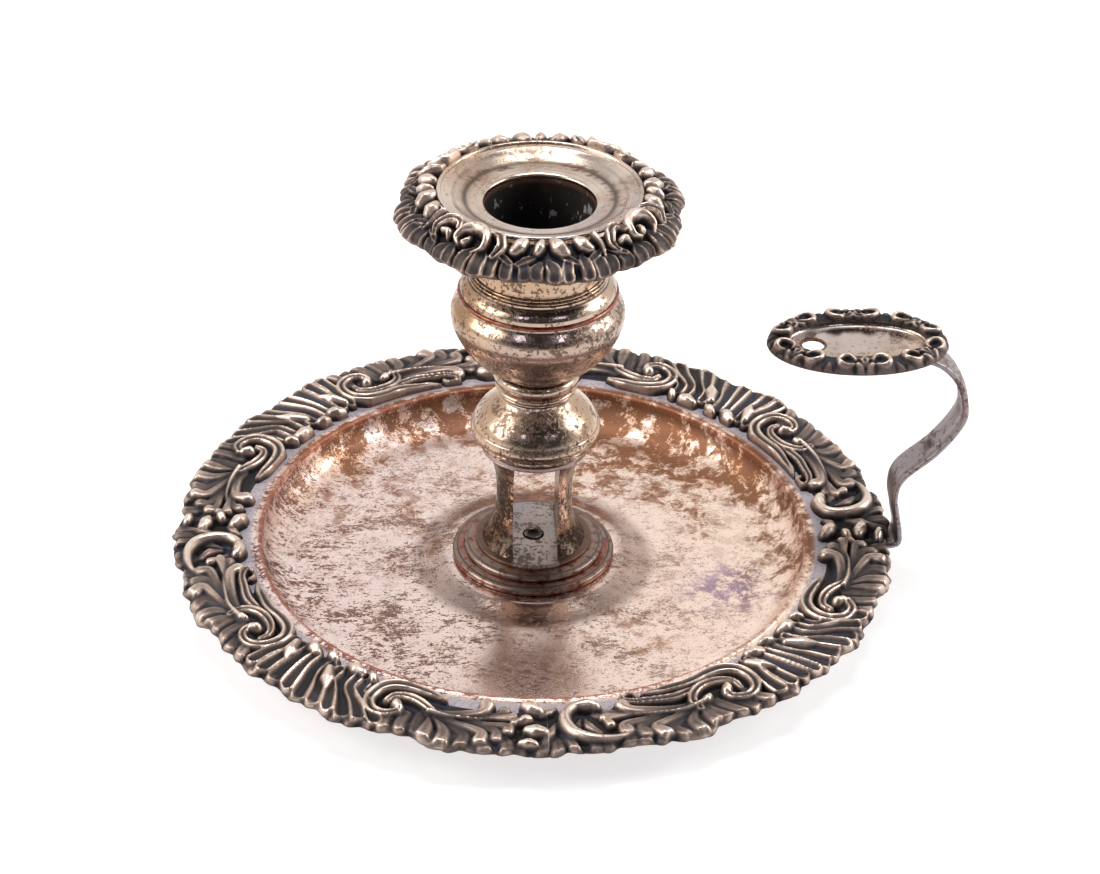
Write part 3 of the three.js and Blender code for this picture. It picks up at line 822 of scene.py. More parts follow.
# %% [markdown]
# ## The drip pan
#
# The pan is one sheet, raised by hand: a low boss, a nearly flat well, a curved wall and a flat rim. It is
# spun here from its upper line and the same line one sheet lower. Hand work and long use leave it a little
# uneven, and it is that unevenness which bends the reflections, so the finished mesh is moved by soft noise
# of about a tenth of a millimetre. The rim under the border is bent further, by up to about half of one.

# %% Pan sheet
pan_radius, pan_low, pan_high = reach("drip_pan")
SHEET = 0.9 * MM
BORDER_INNER = 60.0 * MM
WELL_EDGE = 57.0 * MM
foot_radius = reach("foot_base_ring")[0]
boss_high = reach("foot_base_ring")[1] - JOINT
depth = pan_high - pan_low - SHEET


def pan_line():
    wall = [
        (WELL_EDGE - 8 * MM * (1 - math.sin(a)), pan_low + SHEET + depth * (1 - math.cos(a)))
        for a in np.linspace(0, 1.36, 22)
    ]
    boss = flow([
        (2.4 * MM, boss_high), (foot_radius + 0.5 * MM, boss_high),
        (foot_radius + 2.2 * MM, boss_high - 0.15 * MM),
        (foot_radius + 4.8 * MM, boss_high - 1.0 * MM), (foot_radius + 7.2 * MM, pan_low + SHEET + 0.12 * MM),
        (foot_radius + 10 * MM, pan_low + SHEET),
    ], 7)
    floor = [(r, pan_low + SHEET) for r in np.linspace(foot_radius + 12 * MM, WELL_EDGE - 9 * MM, 14)]
    edge = flow([
        (WELL_EDGE - 0.10 * MM, pan_high - 0.8 * MM), (WELL_EDGE + 0.05 * MM, pan_high - 0.1 * MM),
        (WELL_EDGE + 0.45 * MM, pan_high + 0.22 * MM), (WELL_EDGE + 0.95 * MM, pan_high + 0.10 * MM),
        (WELL_EDGE + 1.3 * MM, pan_high - 0.06 * MM), (WELL_EDGE + 2.2 * MM, pan_high),
    ], 4)
    rim = [(r, pan_high) for r in np.linspace(BORDER_INNER, pan_radius, 10)]
    return [*boss, *floor, *wall, *edge, *rim]


def rim_wave(angle, radius):
    """How far the rim is bent up or down at a place. It is nothing inside the border and at the strap."""
    lift = 0.42 * np.sin(12 * angle) + 0.30 * np.sin(28 * angle)
    return lift * MM * np.clip((radius - BORDER_INNER) / (16 * MM), 0, 1) ** 1.5


def dent(mesh):
    """Moves the sheet up and down by soft noise, and leaves the flat ring that it stands on."""
    for vertex in mesh.vertices:
        x, y, z = vertex.co
        r = math.hypot(x - AXIS_X, y)
        wave = noise.noise(Vector((x, y, 0)) * 45) + 0.35 * noise.noise(Vector((x, y, 3)) * 140)
        if z > pan_low + 0.5 * SHEET and r > foot_radius + 1 * MM:
            vertex.co.z += 0.11 * MM * wave + float(rim_wave(math.atan2(y, x - AXIS_X), r))


top_line = pan_line()
under_line = [(r + 0.2 * MM if z > pan_low + 1.5 * SHEET and r < BORDER_INNER else r, z - SHEET)
              for r, z in top_line]
pan_sheet = turned([*top_line, *reversed(under_line[::2] + [under_line[-1]])], 288)


# %% [markdown]
# The pan's finish carries most of the object's history. The base is pale silver that mirrors the room.
# Long flecks lie across it where polishing has cut through to copper, thickest on the left and front.
# Golden tarnish has grown in clouds at the back and on the right, and a small patch at the right has a
# purple bloom. The well is darker round the boss, and a painted shade round the stem darkens its middle in
# patches. Dark stain sits on the curved wall. Each of these is a mask: a noise pattern, cut by a smooth
# step, and weighted by where it lies on the pan.

# %% Pan finish
PAN_SILVER = (0.90, 0.74, 0.685, 1)
PAN_WARM = (0.77, 0.60, 0.52, 1)
PAN_PINK = (0.80, 0.66, 0.64, 1)
PAN_PEACH = (0.98, 0.77, 0.64, 1)
PAN_GOLD = (0.58, 0.30, 0.12, 1)
PAN_RUST = (0.20, 0.07, 0.03, 1)
PAN_BLOOM = (0.36, 0.25, 0.40, 1)
WALL_DIRT = (0.20, 0.13, 0.09, 1)
FLECK_COPPER = (0.16, 0.060, 0.052, 1)
GRIT_COPPER = (0.15, 0.065, 0.055, 1)
EDGE_COPPER = (0.30, 0.095, 0.055, 1)
RIM_SILVER = (0.46, 0.42, 0.46, 1)


def pan_finish():
    f = Finish("tarnished_pan")
    crest = f.attribute("crest")
    x, y, radius = f.from_axis()
    flat = f.stretched((1.0, 1.8, 1.0))
    fleck = f.noise(600, 8, 0.72, 0.1, flat)
    grit = f.noise(1900, 5, 0.70, 0.0, flat)
    patch = f.noise(70, 5, 0.62, 0.2, flat)
    cloud = f.noise(26, 6, 0.62, 0.9)
    curdle = f.noise(260, 9, 0.72, 0.4)
    leftward = (0.5 - x * 9.0 - y * 5.0).clamped()
    rightward = (0.28 + x * 7.0 + y * 10.0).clamped()
    ragged = fleck * 0.9 + (grit - 0.5) * 0.5
    worn = (ragged + patch * 0.62 + leftward * 0.06).step(0.850, 0.872)
    worn = worn * (0.15 + leftward * 0.85)
    scatter = (grit + (fleck - 0.5) * 0.6 + (patch - 0.5) * 0.3).step(0.57, 0.61) * (0.2 + leftward * 0.8)
    gold = (cloud * 0.9 + curdle * 0.5 + rightward * 0.24).step(0.80, 0.93)
    rust = (curdle + (grit - 0.5) * 0.6 + cloud * 0.35 + rightward * 0.17).step(0.74, 0.79)
    near_wall = radius.step(WELL_EDGE - 14 * MM, WELL_EDGE - 0.5 * MM)
    wall_stain = near_wall * (cloud + (curdle - 0.5) * 0.7).step(0.44, 0.56) * (0.15 + y * 16.0).clamped()
    gold = (gold * (0.35 + rightward * 0.65) + wall_stain * 0.8).clamped()
    ring = radius.step(WELL_EDGE - 0.2 * MM, WELL_EDGE + 0.1 * MM)
    ring = ring * (1 - radius.step(WELL_EDGE + 0.6 * MM, WELL_EDGE + 1.0 * MM))
    boss = 1 - radius.step(foot_radius + 6.5 * MM, foot_radius + 10 * MM)
    boss = boss * radius.step(foot_radius - 0.5 * MM, foot_radius + 3.5 * MM) * 0.5
    rim = radius.step(BORDER_INNER - 1.4 * MM, BORDER_INNER - 0.2 * MM)
    # painted shade round the stem: the well darkens towards its middle, in patches
    painted_stem_shade = radius.step(BORDER_INNER, BORDER_INNER / 2) * patch.step(0.50, 0.64) * 0.12
    colour = f.blend(PAN_SILVER, PAN_WARM, curdle.step(0.38, 0.62) * 0.8)
    colour = f.blend(colour, PAN_PINK, patch.step(0.6, 0.42) * 0.6)
    colour = f.blend(colour, PAN_PEACH, (0.35 + x * 12.0).clamped() * 0.85)
    colour = f.blend(colour, PAN_GOLD, gold * 0.85)
    colour = f.blend(colour, PAN_RUST, (rust * (gold + 0.25)).clamped() * 0.9)
    bloom_x, bloom_y = x - 0.70 * WELL_EDGE, y + 0.22 * WELL_EDGE
    bloom = (bloom_x * bloom_x + bloom_y * bloom_y) ** 0.5
    bloom = bloom.step(0.24 * WELL_EDGE, 0.05 * WELL_EDGE) * curdle.step(0.44, 0.58)
    colour = f.blend(colour, PAN_BLOOM, bloom * 0.75)
    dirty_wall = near_wall * (grit * 0.6 + curdle * 0.6).step(0.62, 0.70)
    colour = f.blend(colour, WALL_DIRT, dirty_wall * 0.5)
    colour = f.blend(colour, FLECK_COPPER, worn * 0.95)
    colour = f.blend(colour, GRIT_COPPER, scatter * 0.85)
    # darker round the boss, with the painted shade round the stem laid over the well's middle
    colour = f.blend(colour, BROWN_TARNISH_AND_SHADE, (boss * (0.6 + patch) + painted_stem_shade).clamped())
    edge_wear = (ring * (0.35 + leftward * 0.6 + (fleck - 0.5) * 3.0)).clamped()
    colour = f.blend(colour, EDGE_COPPER, edge_wear)
    colour = f.blend(colour, RIM_SILVER, rim)
    colour = f.blend(colour, BROWN_TARNISH_AND_SHADE, rim * grit.step(0.52, 0.62) * 0.6)
    dirt = (1 - crest).step(0.60, 0.95)
    colour = f.blend(colour, BLACK_TARNISH, dirt * 0.75)
    matt = worn * 0.7 + gold * 0.35 + scatter * 0.6 + rust * gold * 0.5 + edge_wear * 0.5 + near_wall * 0.55
    matt = matt.clamped()
    bump = f.bump(fleck * 0.2 + grit * 0.5 - worn * 0.5 - scatter * 0.5, 0.10 * MM, 0.4)
    return f.set(
        Base_Color=colour, Metallic=1 - matt * 0.35,
        Roughness=(0.08 + matt * 0.36 + curdle * 0.10 + rim * 0.18).clamped(), Normal=bump,
    )


settle(pan_sheet, "drip_pan_sheet", pan_finish(), "drip_pan",
       crest=(1.2 * MM, 0.12 * MM), shape=dent)

# %% [markdown]
# ## Struck scroll work
#
# The borders were struck in steel dies from thin silver, then filled and soldered on. A struck relief has
# no undercuts, so it can be modelled as heights on a fine sheet. Each scroll, leaf and flute is one
# stroke: a smooth line with a width, a height and a section. Where strokes cross, the higher one shows,
# as in the die.
#
# A stroke's points are (along, across) in millimetres: along the border from the start of a length, and
# across it from its inner edge.

# %% Strokes


def section_roll(x):
    """A plain half-round."""
    return np.sqrt(np.clip(1 - x * x, 0, 1))


def section_band(x):
    """A scroll band: two rounded edges with a hollow between them."""
    return np.sqrt(np.clip(1 - x**4, 0, 1)) - 0.42 * np.exp(-((x / 0.42) ** 2))


def section_spoon(x):
    """A leaf finger or a flute: a hollow channel between two raised edges."""
    rim = np.exp(-(((np.abs(x) - 0.80) / 0.26) ** 2))
    return (0.52 + 0.48 * rim) * np.clip(1 - np.abs(x) ** 9, 0, 1)


def section_leaf(x):
    """A full finger of a leaf: a broad back, a little hollow, that falls away steeply to its neighbours."""
    return np.clip(1 - np.abs(x) ** 3, 0, 1) ** 0.7 * (0.80 + 0.20 * np.abs(x))


SECTIONS = {"roll": section_roll, "band": section_band, "spoon": section_spoon, "leaf": section_leaf}
STROKE_STEP = 0.12  # spacing of the points along a stroke, in millimetres


def evenly(line):
    """The same line with its points STROKE_STEP apart, and each point's share of the length."""
    run = np.concatenate([[0], np.cumsum(np.linalg.norm(np.diff(line, axis=0), axis=1))])
    place = np.linspace(0, run[-1], max(3, int(run[-1] / STROKE_STEP)))
    return np.column_stack([np.interp(place, run, line[:, k]) for k in (0, 1)]), place / run[-1]


def lay_stroke(field, along, across, points, widths, heights, section="roll", repeat=0.0):
    """Raises the field to the stroke where the stroke is higher. Widths are half widths, in millimetres."""
    line, share = evenly(flow(points, 8))
    width = np.interp(share, np.linspace(0, 1, len(widths)), widths)
    height = np.interp(share, np.linspace(0, 1, len(heights)), heights)
    direction = np.gradient(line, axis=0)
    direction /= np.maximum(np.linalg.norm(direction, axis=1, keepdims=True), 1e-9)
    margin = max(widths)
    for shift in ((-repeat, 0.0, repeat) if repeat else (0.0,)):
        px, py = line[:, 0] + shift, line[:, 1]
        near = np.nonzero(
            (along > px.min() - margin) & (along < px.max() + margin)
            & (across > py.min() - margin) & (across < py.max() + margin)
        )[0]
        if len(near) == 0:
            continue
        dx = along[near, None] - px[None, :]
        dy = across[near, None] - py[None, :]
        relative = np.hypot(dx, dy) / width[None, :]
        k = relative.argmin(axis=1)
        rows = np.arange(len(near))
        best = relative[rows, k]
        side = np.where(direction[k, 0] * dy[rows, k] < direction[k, 1] * dx[rows, k], -1, 1)
        inside = best < 1
        value = height[k] * SECTIONS[section](side * best)
        chosen = near[inside]
        field[chosen] = np.maximum(field[chosen], value[inside])


def lay_fan(lay, lines, heights, close=0.50, section="leaf"):
    """Fingers side by side, each as wide as its distance to its neighbours. Some stand a little higher."""
    paths = [evenly(flow(line, 8))[0] for line in lines]
    shares = np.linspace(0, 1, 7)
    marks = np.array([path[(shares * (len(path) - 1)).astype(int)] for path in paths])
    for i, line in enumerate(lines):
        beside = [n for n in (i - 1, i + 1) if 0 <= n < len(lines)]
        gap = np.mean([np.linalg.norm(marks[i] - marks[n], axis=1) for n in beside], axis=0)
        stand = 1 + 0.20 * math.sin(2.4 * i + 0.5)
        lay(line, list(np.clip(gap * close, 0.3, 2.3)), [h * stand for h in heights], section)


def lay_bud(lay, x, y, turn, size=1.0, high=2.7, ridges=True):
    """A rolled bud: a fat round stroke, with two fine ridges along its back when ridges is true."""
    ahead = 1.5 * size * np.array([math.cos(turn), math.sin(turn)])
    aside = 0.60 * size * np.array([-math.sin(turn), math.cos(turn)])
    middle = np.array([x, y])
    lay([tuple(middle - ahead), tuple(middle), tuple(middle + ahead)],
        [1.15 * size, 1.7 * size, 1.4 * size], [0.80 * high, high, 0.85 * high])
    for side in ((-1, 1) if ridges else ()):
        start = middle + side * aside
        lay([tuple(start - ahead), tuple(start), tuple(start + 1.2 * ahead)],
            [0.25, 0.32, 0.28], [0.75 * high, 1.05 * high, 0.85 * high])


# %% [markdown]
# ## The pan border's motif
#
# One length covers a quarter of the pan and holds, in order, a C-scroll with a bulb, an acanthus leaf
# that opens towards it, a large volute, a shell fan of slanting flutes with rolled buds at its foot, a
# small volute, and a second leaf that opens the other way. Short flutes fill the outer edge. The fan's
# flutes are hollow channels with raised edges, leaf fingers have a broad back, and the volutes are bands
# with a groove.

# %% Motif of the pan border
BORDER_LENGTH = 106.0  # along one length, in the millimetres that the motif is drawn in
BORDER_ACROSS = 15.6  # across it
EDGE_FLUTES = 34


def leaf_lines(spine, tips):
    """Fingers of a leaf. Each leaves the spine at its own share and bends over to its tip (share, x, y)."""
    stem = flow(spine, 20)
    lines = []
    for share, x, y in tips:
        k = int(share * (len(stem) - 1))
        before, root = stem[max(k - 14, 0)], stem[k]
        onward = root + 0.45 * (np.array([x, y]) - root) + 1.1 * (root - before)
        lines.append([tuple(before), tuple(root), tuple(onward), (x, y)])
    return lines


def pan_motif(along, across):
    field = np.full(len(along), -0.35)
    field[(across > 1.8) & (across < BORDER_ACROSS - 0.1)] = 0.05

    def lay(points, widths, heights, section="roll"):
        lay_stroke(field, along, across, points, widths, heights, section, repeat=BORDER_LENGTH)

    # short flutes at the outer edge, none quite like the next
    for i in range(EDGE_FLUTES):
        x = (i + 0.5 + 0.18 * math.sin(3.7 * i)) * BORDER_LENGTH / EDGE_FLUTES
        lean = 1.6 * math.sin(0.9 * i)
        wide = 1.5 + 0.25 * math.sin(5.1 * i)
        lay([(x - lean - 0.8, 9.6), (x - 0.4 * lean, 12.2), (x, BORDER_ACROSS - 0.9)],
            [0.6, 0.9 * wide, wide],
            [0.6, 1.2 + 0.2 * math.sin(2.3 * i), 1.3 + 0.3 * math.sin(1.7 * i)], "leaf")

    # C-scroll with a bulb, in front of the first leaf
    lay([(16.4, 11.0), (12.8, 12.5), (8.8, 12.6), (5.5, 11.0), (3.8, 8.2), (3.5, 5.2), (4.6, 2.9),
         (6.8, 1.7)],
        [0.3, 0.8, 1.2, 1.5, 1.65, 1.65, 1.5, 1.3], [1.3, 1.9, 2.3, 2.5, 2.6, 2.6, 2.5, 2.4])
    lay([(6.4, 1.9), (9.0, 2.0), (10.2, 2.6)], [1.3, 1.75, 1.5], [2.4, 2.8, 2.5])

    # first leaf, with its rolled stem
    spine = [(31.6, 8.2), (27.0, 8.6), (22.0, 8.0), (17.0, 7.0)]
    lay_fan(lay, leaf_lines(spine, [
        (0.05, 31.0, 14.0), (0.14, 27.8, 14.4), (0.24, 24.6, 14.3), (0.35, 21.2, 13.6), (0.48, 17.8, 12.4),
        (0.62, 14.6, 10.6),
    ]), [0.9, 1.3, 1.6, 1.8, 2.2])
    lay_fan(lay, leaf_lines([(31.6, 7.0), (27.0, 7.0), (22.0, 6.4), (17.0, 5.8)], [
        (0.80, 12.0, 8.4), (0.72, 11.0, 6.2), (0.60, 12.2, 4.4), (0.40, 15.8, 3.2),
    ]), [0.9, 1.2, 1.5, 1.8, 2.2])
    lay([(31.6, 8.0), (27.0, 8.2), (22.0, 7.4), (17.4, 6.6)], [0.7, 0.6, 0.45, 0.25], [2.3, 2.1, 1.9, 1.6])
    lay([(32.0, 3.4), (27.0, 4.0), (22.5, 3.4), (18.8, 2.9), (16.4, 1.6), (17.0, 0.2), (19.0, 0.1),
         (20.0, 1.3)],
        [0.8, 1.1, 1.15, 1.05, 0.95, 0.85, 0.75, 0.6], [1.9, 2.1, 2.2, 2.2, 2.3, 2.2, 2.1, 1.9], "band")
    lay([(28.0, 1.6), (23.8, 1.0), (21.2, 0.4)], [0.5, 0.8, 0.3], [1.3, 1.6, 1.1])

    # feathers behind the large volute
    lay_fan(lay, [
        [(31.2, 8.6), (32.0, 11.2), (33.4, 14.2)], [(34.2, 8.8), (35.0, 11.4), (36.4, 14.4)],
        [(37.4, 9.2), (38.2, 11.8), (39.4, 14.4)], [(40.8, 9.6), (41.4, 12.0), (42.6, 14.2)],
    ], [1.2, 1.5, 1.7, 1.8])

    # large volute, with a ball at each end
    lay([(22.5, 0.5), (27.0, 0.9), (32.0, 1.3), (36.5, 0.9), (40.5, 1.4), (43.2, 3.4), (44.0, 6.6),
         (42.8, 9.6), (40.2, 11.0), (37.6, 10.2), (36.6, 8.4)],
        [0.5, 0.9, 1.25, 1.45, 1.5, 1.6, 1.55, 1.4, 1.2, 1.05, 0.9],
        [1.4, 1.8, 2.1, 2.4, 2.5, 2.6, 2.7, 2.6, 2.6, 2.5, 2.5], "band")
    lay([(30.2, 9.2), (30.0, 6.4), (32.0, 4.2), (35.2, 3.5), (38.4, 4.1), (40.4, 5.8), (40.5, 7.8)],
        [0.9, 1.1, 1.2, 1.15, 1.1, 0.95, 0.7], [2.0, 2.2, 2.4, 2.4, 2.3, 2.2, 1.9], "band")
    lay([(37.0, 7.8), (37.7, 7.0)], [1.3, 1.35], [2.7, 2.9])
    lay([(32.4, 7.7), (33.4, 7.2)], [1.2, 0.9], [2.4, 2.2])

    # shell fan, with rolled backs at the foot of some flutes
    flutes = 10
    lines = []
    for i in range(flutes):
        t = i / (flutes - 1)
        foot_x, tip_x = 45.4 + 21.5 * t, 45.6 + 28.6 * t
        rise = 2.4 + 1.0 * t
        lines.append([(foot_x, rise), (foot_x + 0.6, rise + 3.4), (foot_x + 0.62 * (tip_x - foot_x), 10.0),
                      (tip_x, 13.6 - 0.5 * math.cos(6 * t))])
    lay_fan(lay, lines, [1.8, 2.2, 2.3, 2.2, 2.0], 0.56, "spoon")
    lay([(46.6, 3.2), (48.0, 5.8), (49.6, 8.6)], [1.2, 1.7, 0.4], [2.4, 2.9, 2.2])
    lay([(58.0, 4.4), (60.0, 7.4), (61.6, 10.0)], [1.3, 1.9, 0.4], [2.4, 2.9, 2.2])

    # rolled buds under the fan
    for bud in (
        (50.6, 1.7, 0.45, 1.05),
        (55.6, 1.0, 0.35, 0.8),
        (62.6, 1.3, 0.1, 1.1),
        (67.2, 1.6, 0.9, 0.7),
    ):
        lay_bud(lay, *bud)

    # feathers behind the small volute
    lay_fan(lay, [
        [(75.4, 9.4), (75.6, 12.0), (76.2, 14.4)], [(78.4, 8.6), (78.6, 11.6), (79.2, 14.3)],
        [(81.2, 7.6), (81.4, 11.0), (82.0, 14.2)],
    ], [1.2, 1.5, 1.7, 1.8])

    # small volute with its ball
    lay([(84.4, 1.9), (80.2, 1.1), (75.8, 0.9), (72.4, 1.9), (70.4, 4.3), (70.2, 7.6), (72.1, 10.2),
         (75.0, 10.7), (77.0, 9.2)],
        [0.6, 1.15, 1.35, 1.55, 1.6, 1.5, 1.35, 1.15, 0.95],
        [1.8, 2.2, 2.4, 2.6, 2.7, 2.6, 2.6, 2.5, 2.5], "band")
    lay([(83.4, 6.4), (80.0, 4.6), (76.8, 4.0), (74.2, 4.8), (73.4, 6.8)],
        [0.9, 1.15, 1.15, 1.05, 0.8], [2.0, 2.3, 2.4, 2.3, 2.2], "band")
    lay([(76.9, 8.2), (76.0, 7.3)], [1.2, 1.4], [2.7, 2.9])

    # second leaf
    spine = [(82.4, 7.4), (86.0, 7.8), (90.5, 7.4), (95.0, 6.6)]
    lay_fan(lay, leaf_lines(spine, [
        (0.05, 83.6, 14.2), (0.16, 87.0, 14.4), (0.28, 90.4, 14.0), (0.42, 93.6, 12.9), (0.56, 96.4, 11.2),
        (0.70, 98.4, 9.0),
    ]), [0.9, 1.3, 1.6, 1.8, 2.2])
    lay_fan(lay, leaf_lines([(82.4, 5.4), (86.0, 5.8), (90.5, 5.6), (95.0, 5.2)], [
        (0.80, 99.4, 6.8), (0.72, 99.2, 4.8), (0.55, 97.2, 3.0), (0.34, 93.4, 1.9),
    ]), [0.9, 1.2, 1.5, 1.8, 2.2])
    lay([(82.4, 6.8), (86.4, 7.0), (91.0, 6.6), (95.0, 5.9)], [0.7, 0.6, 0.45, 0.25], [2.3, 2.1, 1.9, 1.6])

    # small leaves round the C-scroll
    lay([(-0.9, 12.4), (0.5, 9.4), (1.5, 6.4)], [0.7, 1.2, 0.5], [1.4, 1.9, 1.1], "leaf")
    lay([(-1.3, 4.2), (0.4, 3.0), (1.9, 1.6)], [0.6, 1.1, 0.6], [1.3, 1.8, 1.2], "leaf")
    lay([(9.6, 9.8), (8.0, 8.0), (7.6, 5.4)], [0.9, 1.3, 0.5], [1.2, 1.6, 1.0], "leaf")
    lay([(6.0, 9.4), (5.8, 7.4), (6.6, 5.2)], [0.5, 0.9, 0.4], [1.0, 1.4, 0.9], "leaf")
    lay([(11.6, 6.2), (10.2, 5.0), (9.0, 4.2)], [0.9, 1.1, 0.5], [1.3, 1.6, 1.0], "leaf")

    # buds between the second leaf and the next C-scroll
    for bud in (
        (102.8, 2.1, 0.5, 1.1),
        (101.4, 6.0, -0.4, 0.75),
        (103.6, 9.0, 0.3, 1.05),
        (102.2, 12.8, 0.2, 0.8),
    ):
        lay_bud(lay, *bud)
    return field


# %% [markdown]
# ## From strokes to metal
#
# The blank for one length is a closed outline, fine on top and coarse below, spun through a quarter turn
# and closed at its two ends. Its top is then moved by the motif. The grid is about a fifth of a
# millimetre, so the step where one stroke passes over another would be jagged: two rounds of averaging
# with the neighbours soften it, as polishing does.

# %% Blank, averaging and displacement


def neighbour_mean(mesh):
    """A function that averages a value per vertex with the values of its neighbours."""
    count = len(mesh.vertices)
    ends = np.empty(len(mesh.edges) * 2, dtype=np.int64)
    mesh.edges.foreach_get("vertices", ends)
    a, b = ends.reshape(-1, 2).T
    total = np.maximum(np.bincount(a, minlength=count) + np.bincount(b, minlength=count), 1)

    def mean(value):
        return (np.bincount(a, value[b], count) + np.bincount(b, value[a], count)) / total

    return mean


SEAM = 0.0003  # radians left open where two lengths meet


def read_places(mesh):
    place = np.empty(len(mesh.vertices) * 3)
    mesh.vertices.foreach_get("co", place)
    return place.reshape(-1, 3)


def write_places(mesh, place):
    mesh.vertices.foreach_set("co", place.ravel())
    mesh.update()


def polish(mesh, height, top):
    """Two rounds of averaging with the neighbours, on the struck top only."""
    mean = neighbour_mean(mesh)
    for _ in range(2):
        height = np.where(top, 0.5 * height + 0.5 * mean(height), 0)
    return height


def quarter_blank(top, under, steps):
    """A closed outline of (radius, height) spun through a quarter turn, less a hair, with its ends filled."""
    bm = turned([*top, *reversed(under)], steps, angle=math.pi / 2 - SEAM)
    open_edges = [e for e in bm.edges if e.is_boundary]
    bmesh.ops.holes_fill(bm, edges=open_edges, sides=0)
    bmesh.ops.rotate(bm, verts=bm.verts, cent=(AXIS_X, 0, 0), matrix=Matrix.Rotation(SEAM / 2, 3, "Z"))
    return bm


pan_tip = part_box("pan_border_1")[1].y
border_radius = pan_tip - BORDER_ACROSS * MM
border_floor = pan_high + 0.02 * MM
ROWS = 78
STEPS = 480


def border_blank():
    top = [(border_radius + BORDER_ACROSS * MM * i / ROWS, border_floor) for i in range(ROWS + 1)]
    under = [
        (border_radius, border_floor - 0.45 * MM), (pan_radius - 0.6 * MM, border_floor - 0.45 * MM),
        (pan_radius + 0.4 * MM, border_floor - 0.35 * MM), (pan_tip - 0.6 * MM, border_floor - 0.35 * MM),
        (pan_tip - 0.1 * MM, border_floor - 0.15 * MM),
    ]
    return quarter_blank(top, under, STEPS)


def emboss_border(mesh):
    place = read_places(mesh)
    x, y = place[:, 0] - AXIS_X, place[:, 1]
    radius = np.hypot(x, y)
    along = np.arctan2(y, x) / (math.pi / 2) * BORDER_LENGTH
    across = (radius - border_radius) / MM
    top = place[:, 2] > border_floor - 0.1 * MM
    height = np.zeros(len(place))
    height[top] = pan_motif(along[top], across[top])
    height = polish(mesh, height, top)
    roll = 1 - np.clip((across - 14.2) / 1.6, 0, 1) ** 2
    place[:, 2] += height * roll * MM
    # the outer edge is cut to uneven lobes, and the rim is bent like the sheet under it
    turns = 2 * math.pi * along / BORDER_LENGTH
    lobes = 0.50 * np.sin(5 * turns + 0.4) + 0.40 * np.sin(11 * turns + 2.0) + 0.25 * np.sin(23 * turns)
    scallop = lobes + 0.35 * (np.abs(np.sin(EDGE_FLUTES / 2 * turns)) - 1) - 0.45
    reach_out = np.clip((across - 12.5) / 3, 0, 1) ** 2
    grow = 1 + scallop * MM * reach_out / radius
    place[:, 0] = AXIS_X + x * grow
    place[:, 1] = y * grow
    place[:, 2] += rim_wave(turns / 4, radius)
    write_places(mesh, place)
    return np.clip((height - 0.3) / 2.2, 0, 1)


# %% [markdown]
# Silver stays bright only where it is touched. On the struck work the crests are pale and a little pink,
# the flanks are a warm brown grey, and the hollows keep a black, faintly blue tarnish that no cloth
# reaches. The crest attribute drives all of it.

# %% Chased finish
CHASED_DARK = (0.055, 0.040, 0.036, 1)
CHASED_FLANK = (0.155, 0.112, 0.098, 1)
CHASED_WARM = (0.40, 0.31, 0.26, 1)
CHASED_CREST = (0.76, 0.63, 0.54, 1)
CHASED_WORN = (0.25, 0.12, 0.08, 1)


def chased_finish(name, seed=0.0, dark=0.0):
    f = Finish(name)
    spot = f.stretched((1, 1, 1), (seed, -seed, seed * 0.4))
    crest = f.attribute("crest")
    cloud = f.noise(70, 4, 0.6, 0.4, spot)
    fleck = f.noise(620, 6, 0.68, 0.2, spot)
    level = (crest + (fleck - 0.5) * 0.26 + (cloud - 0.5) * 0.26 - dark).clamped()
    colour = f.blend(BLACK_TARNISH, BLUE_TARNISH, cloud.step(0.50, 0.60) * 0.7)
    colour = f.blend(colour, CHASED_DARK, level.step(0.12, 0.30))
    colour = f.blend(colour, CHASED_FLANK, level.step(0.30, 0.46))
    colour = f.blend(colour, CHASED_WARM, level.step(0.46, 0.60))
    colour = f.blend(colour, CHASED_CREST, level.step(0.60, 0.84))
    colour = f.blend(colour, CHASED_WORN, level.step(0.40, 0.7) * fleck.step(0.54, 0.64) * 0.6)
    shine = level.step(0.30, 0.80)
    bump = f.bump(fleck, 0.08 * MM, 0.4)
    return f.set(
        Base_Color=colour, Metallic=0.5 + shine * 0.5,
        Roughness=(0.52 - shine * 0.22 + fleck * 0.08).clamped(), Normal=bump,
    )


chased = chased_finish("chased_border", dark=0.13)

# %% [markdown]
# The die struck every length alike, so one length is made and copied round the pan. A hair is left open
# at each meeting, where the real lengths are soldered.

# %% Pan border lengths
settle_four(border_blank(), "pan_border", chased, "root",
            (1.5 * MM, 0.30 * MM), emboss_border)

# %% [markdown]
# ## The nozzle
#
# The nozzle is a tube with a dished top. A wire makes the ridge round the dish, and a drooping border of
# the same struck work hangs outside it. All of it rides on the body that lifts out. The bore is painted
# black below its mouth as shade, with a few pale specks of old wax, and the tube's outside, which shows
# only when the nozzle is lifted, is stained silver.

# %% Bore finish
BORE_COPPER = (0.36, 0.16, 0.08, 1)
BORE_SHADE = (0.012, 0.009, 0.008, 1)
BORE_STAIN = (0.06, 0.03, 0.02, 1)
WAX = (0.45, 0.44, 0.45, 1)
TUBE_SILVER = (0.40, 0.31, 0.25, 1)
TUBE_STAIN = (0.12, 0.075, 0.05, 1)


